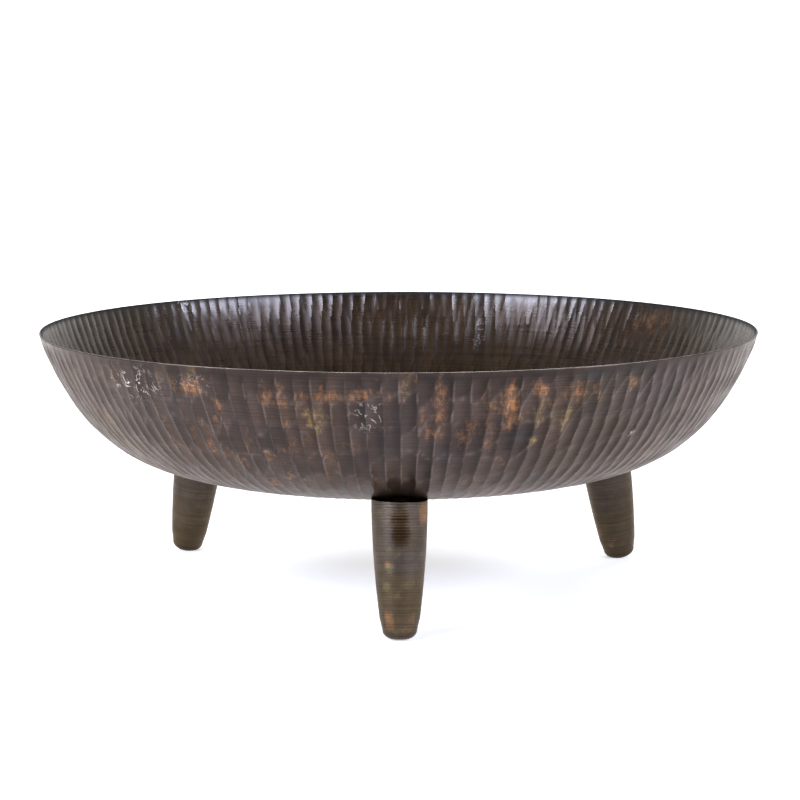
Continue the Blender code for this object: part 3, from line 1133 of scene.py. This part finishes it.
    def write_marks(
        self, mesh: bpy.types.Mesh, turn: np.ndarray, arc: np.ndarray, inside: np.ndarray
    ) -> None:
        """Writes how strongly each kind of mark shows at each vertex.

        Args:
            mesh: the bowl's mesh.
            turn: each vertex's bearing, from 0 to 1 round the bowl.
            arc: its distance down the side.
            inside: 1 on the inner face, 0 on the outer.
        """
        for kind in Rub:
            total = np.zeros(turn.shape)
            for mark in self.marks:
                if mark.kind is not kind:
                    continue
                away = np.mod(turn * 360.0 - (mark.bearing - 90.0) + 180.0, 360.0) - 180.0
                across = np.radians(away) * self.form.rim_radius / (mark.width / 2)
                down = (arc - mark.drop) / (mark.tall / 2)
                spot = mark.strength * np.exp(-(across**2 + down**2) * 0.7)
                total = np.maximum(total, np.where((inside > 0.5) == mark.inside, spot, 0.0))
            write_attribute(mesh, kind.value, total)


# ---------------------------------------------------------------- the legs


@dataclass(frozen=True)
class LegPlace:
    """Where a leg stands, and how much painted shade darkens its patina.

    Attributes:
        name: which leg it is.
        bearing: the way that it splays, in degrees round from +X.
        foot_radius: the foot's distance from the bowl's axis.
        shade: a factor on the patina's brightness, painted shade that darkens the two back legs.
    """

    name: str
    bearing: float
    foot_radius: float
    shade: float

    def axis_frame(self, splay: float) -> Matrix:
        """The leg's frame: its origin on the floor, local Z up its axis, local X outwards.

        Args:
            splay: how far the leg leans out, in radians.

        Returns:
            The frame.
        """
        turned = Matrix.Rotation(math.radians(self.bearing), 4, "Z")
        return turned @ Matrix.Translation((self.foot_radius, 0, 0)) @ Matrix.Rotation(-splay, 4, "Y")


@dataclass(frozen=True)
class LegMark:
    """A mark on a leg, placed in degrees round its axis and in shares of its length from the top.

    Attributes:
        kind: how the patina has changed.
        bearing: the mark's middle round the axis.
        share: its middle along the leg.
        half_bearing: half its size round the axis.
        half_share: half its size along the leg.
        strength: how strongly it shows.
    """

    kind: LegRub
    bearing: float
    share: float
    half_bearing: float
    half_share: float
    strength: float = 1.0

    def spot(self, bearing: np.ndarray, share: np.ndarray) -> np.ndarray:
        """How strongly the mark shows at each point.

        Args:
            bearing: the points' degrees round the axis.
            share: their shares of the length from the top.

        Returns:
            The mark, from 0 to 1.
        """
        across = (bearing - self.bearing) / self.half_bearing
        along = (share - self.share) / self.half_share
        return np.exp(-np.abs(across) ** 3 - np.abs(along) ** 3)


@dataclass
class TurnedLeg:
    """A hollow lathe-turned leg with a rounded foot, its top cut to sit under the bowl."""

    place: LegPlace
    form: BowlForm
    splay: float = math.radians(10.0)
    top_tilt: float = math.radians(3.5)
    top_radius: float = 0.024
    taper: float = 0.0092
    taper_power: float = 1.8
    wall: float = 0.005
    floor: float = 0.014
    foot_rounding: float = 0.0084
    foot_flat: float = 0.004
    foot_wear: float = 0.0007
    drawn_in: float = 0.16
    ring_pitch: float = 0.00245
    ring_depth: float = 0.00012
    points_per_ring: int = 6
    around: int = 72
    countersink: float = 0.003
    spare: float = 0.004
    fitted: float = 0.014
    let_in: float = 0.0001
    top_lean: float = math.radians(1.2)
    marks: tuple[LegMark, ...] = (
        LegMark(LegRub.STREAK, 1.0, 0.20, 24.0, 0.18, 1.15),
        LegMark(LegRub.STREAK, 6.0, 0.38, 12.0, 0.10, 0.55),
        LegMark(LegRub.STREAK, 8.0, 0.72, 14.0, 0.10, 0.45),
        LegMark(LegRub.ORANGE, 58.0, 0.10, 18.0, 0.09, 1.1),
        LegMark(LegRub.ORANGE, -32.0, 0.86, 20.0, 0.08, 0.95),
        LegMark(LegRub.ORANGE, 42.0, 0.84, 14.0, 0.06, 0.55),
        LegMark(LegRub.ORANGE, -22.0, 0.46, 16.0, 0.03, 0.75),
        LegMark(LegRub.YELLOW, -24.0, 0.49, 14.0, 0.05, 0.85),
        LegMark(LegRub.YELLOW, -34.0, 0.62, 14.0, 0.05, 0.80),
        LegMark(LegRub.YELLOW, 20.0, 0.60, 26.0, 0.05, 0.55),
        LegMark(LegRub.YELLOW, -48.0, 0.12, 18.0, 0.07, 0.60),
    )
    seed: int = 5

    def axis_length(self) -> float:
        """How far up the leg's axis it meets the bowl's outer face.

        Returns:
            The length of the leg's axis.
        """
        length = self.form.rim_height - self.form.depth
        for _ in range(40):
            radius = self.place.foot_radius - length * math.sin(self.splay)
            length = self.form.height(radius) / math.cos(self.splay)
        return length

    def top_centre(self) -> tuple[float, float]:
        """Where the leg's axis meets the bowl, seen from above."""
        top = self.place.axis_frame(self.splay) @ Vector((0, 0, self.axis_length()))
        return top.x, top.y

    def radius(self, share: float) -> float:
        """The outer radius at a share of the length below the top."""
        return self.top_radius - self.taper * max(share, 0.0) ** self.taper_power

    def side(self, height: float, length: float, foot: float) -> float:
        """The outer radius at a height: the taper, drawn in straight to the foot's rounding.

        Args:
            height: the height up the leg's axis.
            length: the length of that axis.
            foot: the height at which the foot's rounding starts.

        Returns:
            The radius.
        """
        start = length * self.drawn_in
        if height > start:
            return self.radius(1 - height / length)
        share = (height - foot) / (start - foot)
        return self.radius(1) + (self.radius(1 - self.drawn_in) - self.radius(1)) * share

    def turned_depth(self, height: float) -> float:
        """How deep the tool has cut: a shallow groove for each turn of feed, not quite even.

        Args:
            height: the height up the leg's axis.

        Returns:
            The depth at that height.
        """
        draw = np.random.default_rng(self.seed + math.floor(height / self.ring_pitch) % 997)
        phase = height / self.ring_pitch % 1.0
        return self.ring_depth * draw.uniform(0.35, 1.0) * abs(math.sin(math.pi * phase)) ** 0.8

    def build(self, finish: bpy.types.Material) -> bpy.types.Object:
        """Builds the leg.

        Args:
            finish: its material.

        Returns:
            The leg.
        """
        length = self.axis_length()
        shape = bmesh.new()
        side_layer = shape.verts.layers.float.new("turned_and_unshaded")
        outline = self.outline(length)
        geometry = chain(shape, [(radius, height) for radius, height, _ in outline])
        for vert, (_, _, side) in zip(geometry, outline):
            vert[side_layer] = side
        spin_round(shape, geometry, self.around)
        self.fit_top(shape, length)
        self.turn_rings(shape, side_layer)
        shape.transform(self.place.axis_frame(self.splay))
        self.wear_foot(shape)
        node = f"leg_{self.place.name}"
        piece = finish_piece(f"turned_{node}", shape, finish, Body.BOWL, (node,), 50.0)
        self.write_marks(piece.data, length)
        return piece

    def outline(self, length: float) -> list[tuple[float, float, float]]:
        """The leg's section, from the axis inside, up over the top and down to the axis below.

        Args:
            length: the length of the leg's axis.

        Returns:
            (radius, height, side) triples; side is 1 on the surface that the tool has turned, and 0 in the
            bore, on the top cut and under the foot, where the finish paints shade.
        """
        ball = self.radius(1) - self.foot_flat
        rise, lean = math.cos(self.splay), math.sin(self.splay)
        drop = math.hypot(ball * lean, self.foot_rounding * rise) + self.foot_flat * lean
        bottom = (drop - self.foot_rounding * rise - self.foot_wear) / rise
        top = length + self.spare
        low = bottom + self.floor
        foot = bottom + self.foot_rounding
        points = [(0.0, low, 0.0), (self.side(low, length, foot) - self.wall - 0.003, low, 0.0)]
        mouth = top - self.countersink
        for step in range(25):
            height = low + 0.003 + (mouth - low - 0.003) * step / 24
            points.append((self.side(height, length, foot) - self.wall, height, 0.0))
        points.append((self.side(top, length, foot) - 0.0003, top, 0.0))
        count = round((top - foot) / self.ring_pitch * self.points_per_ring)
        for step in range(count):
            height = top - 0.0003 - (top - 0.0003 - foot) * step / count
            points.append((self.side(height, length, foot), height, 1.0))
        for index in range(13):
            angle = math.pi / 2 * index / 12
            radius = self.foot_flat + ball * math.cos(angle)
            points.append((radius, foot - self.foot_rounding * math.sin(angle), 1.0 - index / 12))
        return points + [(0.0, bottom, 0.0)]

    def fit_top(self, shape: bmesh.types.BMesh, length: float) -> None:
        """Shortens the leg's top, column by column, to a nearly level saw cut scribed to the bowl.

        Args:
            shape: the spun leg, in its own frame.
            length: the length of its axis.
        """
        saw = math.tan(self.splay - self.top_tilt)
        stand = self.place.axis_frame(self.splay)
        axis = stand.to_3x3() @ Vector((0, 0, 1))
        start, top = length - self.fitted, length + self.spare
        for vert in shape.verts:
            if vert.co.z <= start:
                continue
            place = stand @ Vector((vert.co.x, vert.co.y, length))
            for _ in range(6):
                wanted = self.form.height(math.hypot(place.x, place.y)) + self.let_in
                place += axis * ((wanted - place.z) / axis.z)
            level = length - vert.co.x * saw - vert.co.y * math.tan(self.top_lean)
            reach = min((stand.inverted() @ place).z, level)
            vert.co.z = start + (vert.co.z - start) * (reach - start) / (top - start)

    def turn_rings(self, shape: bmesh.types.BMesh, side_layer: bmesh.types.BMLayerItem) -> None:
        """Cuts the tool's fine rings into the turned side, and writes how high each point lies on them.

        Args:
            shape: the fitted leg, in its own frame.
            side_layer: 1 on the vertices that the tool has turned.
        """
        along_layer = shape.verts.layers.float.new("along")
        groove_layer = shape.verts.layers.float.new("groove")
        for vert in shape.verts:
            side = vert[side_layer]
            cut = self.turned_depth(vert.co.z)
            vert[along_layer] = vert.co.z
            vert[groove_layer] = side * (1.0 - cut / self.ring_depth)
            radius = math.hypot(vert.co.x, vert.co.y)
            if radius > self.foot_flat:
                vert.co.x *= 1 - side * cut / radius
                vert.co.y *= 1 - side * cut / radius

    def wear_foot(self, shape: bmesh.types.BMesh) -> None:
        """Flattens the foot where it stands on the floor."""
        for vert in shape.verts:
            vert.co.z = max(vert.co.z, 0.0)

    def write_marks(self, mesh: bpy.types.Mesh, length: float) -> None:
        """Writes the streaks and patches that the finish reads.

        Args:
            mesh: the leg's mesh, in the shared frame.
            length: the length of its axis.
        """
        local = self.place.axis_frame(self.splay).inverted()
        points = np.array([local @ vert.co for vert in mesh.vertices])
        bearing = np.degrees(np.arctan2(points[:, 1], points[:, 0]))
        share = 1 - points[:, 2] / length
        for kind in LegRub:
            total = np.zeros(len(points))
            for mark in self.marks:
                if mark.kind is kind:
                    total = np.maximum(total, mark.strength * mark.spot(bearing, share))
            write_attribute(mesh, kind.value, total)


@dataclass
class LegFixing:
    """What holds a leg on: a disc in its top, a spacer, a wedge washer in the bowl, and a bolt."""

    leg: TurnedLeg
    cap_recess: float = 0.006
    cap_thickness: float = 0.008
    spacer_radius: float = 0.009
    washer_radius: float = 0.011
    washer_thickness: float = 0.002
    hole_radius: float = 0.0045
    bolt_radius: float = 0.004
    head_radius: float = 0.0072
    head_height: float = 0.0053
    bolt_below_cap: float = 0.010
    thread_pitch: float = 0.00125
    gap: float = 0.0003

    def build(self, plated: bpy.types.Material, smoked: bpy.types.Material) -> list[bpy.types.Object]:
        """Builds the four pieces.

        Args:
            plated: the finish of the cap in the leg and the spacer under the bowl, nearly black as painted
                shade.
            smoked: the finish of what lies in the fire bowl.

        Returns:
            The pieces.
        """
        length = self.leg.axis_length()
        cap_top = length - self.cap_recess
        cap_low = cap_top - self.cap_thickness
        bore = self.leg.radius(1 - cap_low / length) - self.leg.wall
        seat = self.wedge_top(length)
        name = self.leg.place.name
        cap = self.ring(bore - 0.0012, cap_low, cap_top, 48, 0.0008)
        spacer = self.ring(self.spacer_radius, cap_top + self.gap, length + 0.0005, 40, 0.0004)
        self.lay_on_bowl(spacer, above=False)
        washer = self.ring(self.washer_radius, length, seat, 48, 0.0003)
        self.lay_on_bowl(washer, above=True)
        bolt = self.bolt(cap_low - self.bolt_below_cap, seat + self.gap)
        made = []
        # The cap and spacer take the nearly black painted-shade finish.
        for part, shape, finish in (
            ("cap", cap, plated),
            ("spacer", spacer, plated),
            ("washer", washer, smoked),
            ("bolt", bolt, smoked),
        ):
            shape.transform(self.leg.place.axis_frame(self.leg.splay))
            nodes = (f"leg_{part}_{name}",)
            title = f"fixing_{part}_{name}"
            made.append(finish_piece(title, shape, finish, Body.BOWL, nodes, 32.0))
        return made

    def wedge_top(self, length: float) -> float:
        """The height up the leg's axis of the washer's flat top."""
        wedge = self.washer_radius * math.tan(self.leg.splay)
        return length + self.leg.form.wall + self.washer_thickness + wedge

    def ring(self, radius: float, low: float, high: float, around: int, edge: float) -> bmesh.types.BMesh:
        """A thick ring about the local Z axis with eased outer edges, bored for the bolt.

        Args:
            radius: its outer radius.
            low: the height of its underside.
            high: the height of its top.
            around: how many sides it has.
            edge: how far its outer edges are eased.

        Returns:
            The ring's mesh, in the leg's frame.
        """
        shape = bmesh.new()
        section = [
            (self.hole_radius, low),
            (radius - edge, low),
            (radius, low + edge),
            (radius, high - edge),
            (radius - edge, high),
            (self.hole_radius, high),
        ]
        spin_round(shape, chain(shape, section, closed=True), around)
        return shape

    def lay_on_bowl(self, shape: bmesh.types.BMesh, above: bool) -> None:
        """Moves one end face of a ring along its axis, so that it lies along the bowl's curved wall.

        Args:
            shape: the ring, in the leg's frame.
            above: whether it is the washer in the bowl, not the spacer under it.
        """
        frame_now = self.leg.place.axis_frame(self.leg.splay)
        back = frame_now.inverted()
        axis = frame_now.to_3x3() @ Vector((0, 0, 1))
        heights = [vert.co.z for vert in shape.verts]
        middle = (min(heights) + max(heights)) / 2
        for vert in shape.verts:
            if (vert.co.z < middle) is not above:
                continue
            place = frame_now @ vert.co
            target = self.leg.form.wall + self.gap if above else -self.gap
            for _ in range(6):
                radius = math.hypot(place.x, place.y)
                wanted = self.leg.form.height(radius) + target * 1.04
                place += axis * ((wanted - place.z) / axis.z)
            edge = vert.co.z
            vert.co = back @ place
            if above:
                vert.co.z += max(edge - min(heights), 0.0)
            else:
                vert.co.z -= max(max(heights) - edge, 0.0)

    def bolt(self, low: float, seat: float) -> bmesh.types.BMesh:
        """A hexagon bolt with a chamfered head and a threaded end.

        Args:
            low: the height of the shank's end.
            seat: the height of the head's underside.

        Returns:
            The bolt's mesh, in the leg's frame.
        """
        shape = bmesh.new()
        plain_end = low + (seat - low) * 0.55
        section = [(0.0, low), (self.bolt_radius * 0.78, low), (self.bolt_radius * 0.97, low + 0.0009)]
        height = low + 0.0009
        while height < plain_end:
            section.append((self.bolt_radius * 0.84, height + self.thread_pitch * 0.45))
            section.append((self.bolt_radius * 0.98, height + self.thread_pitch * 0.95))
            height += self.thread_pitch
        section += [(self.bolt_radius, height + 0.0006), (self.bolt_radius, seat), (0.0, seat)]
        spin_round(shape, chain(shape, section), 24)
        head = bmesh.ops.create_cone(
            shape,
            cap_ends=True,
            segments=6,
            radius1=self.head_radius,
            radius2=self.head_radius,
            depth=self.head_height,
        )["verts"]
        bmesh.ops.translate(shape, verts=head, vec=(0, 0, seat + self.head_height / 2 + 0.00001))
        top = max(vert.co.z for vert in head)
        bmesh.ops.bevel(
            shape,
            geom=[edge for edge in shape.edges if all(abs(vert.co.z - top) < 1e-6 for vert in edge.verts)],
            offset=0.0008,
            offset_type="OFFSET",
            segments=2,
            profile=0.5,
            affect="EDGES",
            material=-1,
        )
        return shape


# ---------------------------------------------------------------- the grate


@dataclass
class LogGrate:
    """The loose log grate: a ring, two cross bars in it, parallel rods on top and two lifting handles."""

    ring_radius: float = 0.262
    bar_radius: float = 0.004
    rod_pitch: float = 0.040
    rods_each_side: int = 6
    cross_offset: float = 0.100
    wire_radius: float = 0.003
    handle_half_width: float = 0.034
    handle_height: float = 0.036
    handle_bend: float = 0.012
    gap: float = 0.0003
    butt_bearing: float = 8.0
    bar_weld: float = 0.007
    wire_weld: float = 0.006

    def build(self, finish: bpy.types.Material) -> list[bpy.types.Object]:
        """Builds the grate.

        Args:
            finish: its material.

        Returns:
            The pieces.
        """
        low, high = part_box("grate_ring")
        level = (low[2] + high[2]) / 2
        pieces = [self.ring(level, finish)]
        for name, offset in (("front", -self.cross_offset), ("back", self.cross_offset)):
            inside = self.ring_radius - self.bar_radius - 2 * self.gap
            half = math.sqrt(inside**2 - (abs(offset) + self.bar_radius) ** 2)
            welds = [index * self.rod_pitch for index in range(-self.rods_each_side, self.rods_each_side + 1)]
            node = f"grate_cross_bar_{name}"
            pieces.append(self.bar(node, Vector((0, offset, level)), Vector((half, 0, 0)), welds, finish))
        top = level + 2 * self.bar_radius + self.gap
        for index in range(-self.rods_each_side, self.rods_each_side + 1):
            offset = index * self.rod_pitch
            half = math.sqrt(self.ring_radius**2 - offset**2)
            node = f"grate_rod_{index + self.rods_each_side + 1:02d}"
            welds = [-half, -self.cross_offset, self.cross_offset, half]
            pieces.append(self.bar(node, Vector((offset, 0, top)), Vector((0, half, 0)), welds, finish))
        for name, side in (("left", -1), ("right", 1)):
            pieces.append(self.handle(name, side, level + self.bar_radius + self.gap, finish))
        return pieces

    def ring(self, level: float, finish: bpy.types.Material) -> bpy.types.Object:
        """The ring of round bar, with the butt weld that closes it.

        Args:
            level: the height of the bar's middle.
            finish: its material.

        Returns:
            The ring.
        """
        shape = bmesh.new()
        circle = bmesh.ops.create_circle(shape, segments=16, radius=self.bar_radius)["verts"]
        bmesh.ops.rotate(shape, verts=circle, cent=(0, 0, 0), matrix=Matrix.Rotation(math.pi / 2, 3, "X"))
        bmesh.ops.translate(shape, verts=circle, vec=(self.ring_radius, 0, 0))
        geometry = list(shape.verts) + list(shape.edges)
        spin_round(shape, geometry, 220)
        shape.transform(Matrix.Translation((0, 0, level)))
        weld = shape.verts.layers.float.new("weld")
        for vert in shape.verts:
            away = math.degrees(math.atan2(vert.co.y, vert.co.x)) - self.butt_bearing
            near = math.exp(-((away / 1.1) ** 2))
            vert[weld] = near
            out = Vector((vert.co.x, vert.co.y, 0)).normalized() * self.ring_radius
            centre = Vector((out.x, out.y, level))
            vert.co = centre + (vert.co - centre) * (1 + 0.10 * near)
        return finish_piece("grate_ring_bar", shape, finish, Body.GRATE, ("grate_ring",))

    def bar(
        self, node: str, centre: Vector, half: Vector, welds: list[float], finish: bpy.types.Material
    ) -> bpy.types.Object:
        """A straight round bar with cropped ends, and its weld marks.

        Args:
            node: the CAD node that it stands for.
            centre: its middle.
            half: the vector from its middle to one end.
            welds: how far along it, from its middle, it is welded.
            finish: its material.

        Returns:
            The bar.
        """
        shape = bmesh.new()
        length = half.length
        edge = self.bar_radius * 0.22
        section = [(0.0, length), (self.bar_radius - edge, length), (self.bar_radius, length - edge)]
        steps = max(int(2 * length / 0.012), 4)
        run = 2 * length - 2 * edge
        section += [(self.bar_radius, length - edge - run * step / steps) for step in range(1, steps)]
        section += [(self.bar_radius, -length + edge), (self.bar_radius - edge, -length), (0.0, -length)]
        spin_round(shape, chain(shape, section), 18)
        weld = shape.verts.layers.float.new("weld")
        for vert in shape.verts:
            vert[weld] = max(math.exp(-(((vert.co.z - spot) / self.bar_weld) ** 2)) for spot in welds)
        turned = half.to_track_quat("Z", "Y").to_matrix().to_4x4()
        shape.transform(Matrix.Translation(centre) @ turned)
        return finish_piece(f"{node}_bar", shape, finish, Body.GRATE, (node,))

    def handle(self, name: str, side: int, base: float, finish: bpy.types.Material) -> bpy.types.Object:
        """A bent wire loop that stands on the ring.

        Args:
            name: left or right.
            side: -1 for the left, 1 for the right.
            base: the height of its feet.
            finish: its material.

        Returns:
            The handle.
        """
        shape = bmesh.new()
        reach = math.sqrt(self.ring_radius**2 - self.handle_half_width**2) * side
        circle = bmesh.ops.create_circle(shape, segments=14, radius=self.wire_radius, cap_ends=True)
        bmesh.ops.translate(shape, verts=circle["verts"], vec=(reach, -self.handle_half_width, base))
        straight = self.handle_height - self.handle_bend
        across = 2 * (self.handle_half_width - self.handle_bend)
        bend = -math.pi / 2
        self.push(shape, Vector((0, 0, straight)), 4)
        self.turn(shape, Vector((reach, -self.handle_half_width + self.handle_bend, base + straight)), bend)
        self.push(shape, Vector((0, across, 0)), 5)
        self.turn(shape, Vector((reach, self.handle_half_width - self.handle_bend, base + straight)), bend)
        self.push(shape, Vector((0, 0, -straight)), 4)
        close_up(shape)
        weld = shape.verts.layers.float.new("weld")
        for vert in shape.verts:
            vert[weld] = math.exp(-(((vert.co.z - base) / self.wire_weld) ** 2))
        node = f"grate_handle_{name}"
        return finish_piece(f"{node}_wire", shape, finish, Body.GRATE, (node,))

    def draw_out(self, shape: bmesh.types.BMesh) -> list[bmesh.types.BMVert]:
        """Extrudes the end cap that was made last; the first cap stays, to close the wire's start.

        Args:
            shape: the wire's mesh.

        Returns:
            The new end's vertices, which still lie where the cap was.
        """
        caps = [face for face in shape.faces if len(face.verts) > 4]
        made = bmesh.ops.extrude_face_region(shape, geom=caps[-1:], use_keep_orig=len(caps) == 1)["geom"]
        return [item for item in made if isinstance(item, bmesh.types.BMVert)]

    def push(self, shape: bmesh.types.BMesh, way: Vector, steps: int) -> None:
        """Draws the wire's end straight on.

        Args:
            shape: the wire's mesh.
            way: how far it goes, and which way.
            steps: how many steps it takes.
        """
        for _ in range(steps):
            bmesh.ops.translate(shape, verts=self.draw_out(shape), vec=way / steps)

    def turn(self, shape: bmesh.types.BMesh, centre: Vector, angle: float, steps: int = 6) -> None:
        """Draws the wire's end round a bend.

        Args:
            shape: the wire's mesh.
            centre: the bend's centre.
            angle: how far it turns about the X axis.
            steps: how many steps it takes.
        """
        matrix = Matrix.Rotation(angle / steps, 3, "X")
        for _ in range(steps):
            bmesh.ops.rotate(shape, verts=self.draw_out(shape), cent=centre, matrix=matrix)


# ---------------------------------------------------------------- the studio


@dataclass(frozen=True)
class SoftBox:
    """A rectangular studio light."""

    name: str
    place: Point
    width: float
    tall: float
    power: float
    tint: Colour = (1.0, 1.0, 1.0)
    aim: Point = (0.0, 0.0, 0.15)

    def build(self) -> None:
        """Adds the light, turned towards its aim."""
        lamp = bpy.data.lights.new(self.name, "AREA")
        lamp.shape = "RECTANGLE"
        lamp.size = self.width
        lamp.size_y = self.tall
        lamp.energy = self.power
        lamp.color = self.tint
        holder = bpy.data.objects.new(self.name, lamp)
        holder.location = self.place
        holder.rotation_euler = (Vector(self.aim) - Vector(self.place)).to_track_quat("-Z", "Y").to_euler()
        bpy.context.scene.collection.objects.link(holder)


@dataclass
class Studio:
    """The camera, the pale floor and the lights."""

    eye: Point = (-0.0067, -2.2341, 0.4897)
    lens: float = 109.14
    pan: float = -0.0036
    dip: float = 0.1424
    roll: float = -0.0017
    floor_size: float = 7.0
    floor_glow: float = 0.60
    floor_colour: Colour = (0.76, 0.76, 0.76)
    sky: Colour = (1.0, 1.0, 1.0)
    sky_low: float = 1.05
    sky_high: float = 0.09
    sky_fade: tuple[float, float] = (0.05, 0.50)
    front_dark: float = 0.85
    front_spread: tuple[float, float] = (-0.93, -0.60)
    front_rise: tuple[float, float] = (0.08, 0.20)
    boxes: tuple[SoftBox, ...] = (
        SoftBox("right front", (2.50, -1.85, 1.80), 2.3, 0.9, 120.0, (0.70, 0.76, 1.0)),
        SoftBox("left front", (-2.35, -1.95, 1.75), 1.8, 0.9, 138.0, (0.72, 0.78, 1.0)),
        SoftBox("back floor", (0.0, 2.6, 2.6), 4.0, 1.5, 140.0, (1.0, 1.0, 1.0), (0.0, 1.9, 0.0)),
    )

    def build(self) -> None:
        """Builds the studio."""
        self.set_camera()
        self.lay_floor()
        self.light_sky()
        for box in self.boxes:
            box.build()
        bpy.context.scene.view_settings.view_transform = "Standard"

    def set_camera(self) -> None:
        """Adds the scene's camera."""
        camera = bpy.data.cameras.new("camera")
        camera.lens = self.lens
        camera.sensor_width = 36.0
        camera.clip_end = 200.0
        holder = bpy.data.objects.new("camera", camera)
        holder.matrix_world = (
            Matrix.Translation(self.eye)
            @ Matrix.Rotation(self.pan, 4, "Z")
            @ Matrix.Rotation(math.pi / 2 - self.dip, 4, "X")
            @ Matrix.Rotation(self.roll, 4, "Z")
        )
        bpy.context.scene.collection.objects.link(holder)
        bpy.context.scene.camera = holder

    def lay_floor(self) -> None:
        """Adds the floor, a faintly lit table that isn't part of the object."""
        shape = bmesh.new()
        bmesh.ops.create_grid(shape, x_segments=1, y_segments=1, size=self.floor_size / 2)
        mesh = bpy.data.meshes.new("studio_floor")
        shape.to_mesh(mesh)
        shape.free()
        made, _, shader = principled("studio floor")
        shader.inputs["Base Color"].default_value = (*self.floor_colour, 1.0)
        shader.inputs["Roughness"].default_value = 0.9
        shader.inputs["Specular IOR Level"].default_value = 0.1
        shader.inputs["Emission Color"].default_value = (1.0, 1.0, 1.0, 1.0)
        shader.inputs["Emission Strength"].default_value = self.floor_glow
        mesh.materials.append(made)
        ground = bpy.data.objects.new("studio_floor", mesh)
        bpy.context.scene.collection.objects.link(ground)

    def light_sky(self) -> None:
        """Sets a pale surround that darkens overhead and, above the horizon, in front."""
        world = bpy.data.worlds.new("studio")
        world.use_nodes = True
        graph = Graph(world.node_tree)
        background = world.node_tree.nodes["Background"]
        background.inputs["Color"].default_value = (*self.sky, 1.0)
        _, back, up = graph.separate(graph.wire(graph.node("TexCoord"), "Generated"))
        sky = graph.span(up, *self.sky_fade, self.sky_low, self.sky_high)
        ahead = graph.span(back, *self.front_spread, self.front_dark, 0.0)
        dark = ahead * graph.span(up, *self.front_rise)
        graph.feed(background.inputs["Strength"], sky * (1.0 - dark))
        bpy.context.scene.world = world


# ---------------------------------------------------------------- everything together

# The last number of each leg is its painted shade factor; the back legs are painted darker.
LEG_PLACES = (
    LegPlace("front", -90.0, 0.241, 1.0),
    LegPlace("right", 24.2, 0.238, 0.68),
    LegPlace("left", 146.8, 0.252, 0.76),
)


def main() -> None:
    """Builds every piece, then the studio."""
    logging.basicConfig(level=logging.INFO, format="%(name)s %(message)s")
    Studio().build()
    form = BowlForm()
    legs = [TurnedLeg(place, form) for place in LEG_PLACES]
    FireBowl([leg.top_centre() for leg in legs], form).build(HammeredPatina().material())
    # Painted shade: a nearly black copy of the zinc for the cap and spacer hidden in the leg top and under the
    # bowl.
    shaded_zinc = FastenerZinc("zinc in painted shade", smoke_and_shade=(0.010, 0.008, 0.007), smoked=1.3).material()
    smoked = FastenerZinc().material()
    for leg in legs:
        leg.build(TurnedPatina(shade=leg.place.shade).material())
        LegFixing(leg).build(shaded_zinc, smoked)
    LogGrate().build(GrateIron().material())


if __name__ == "__main__":
    main()
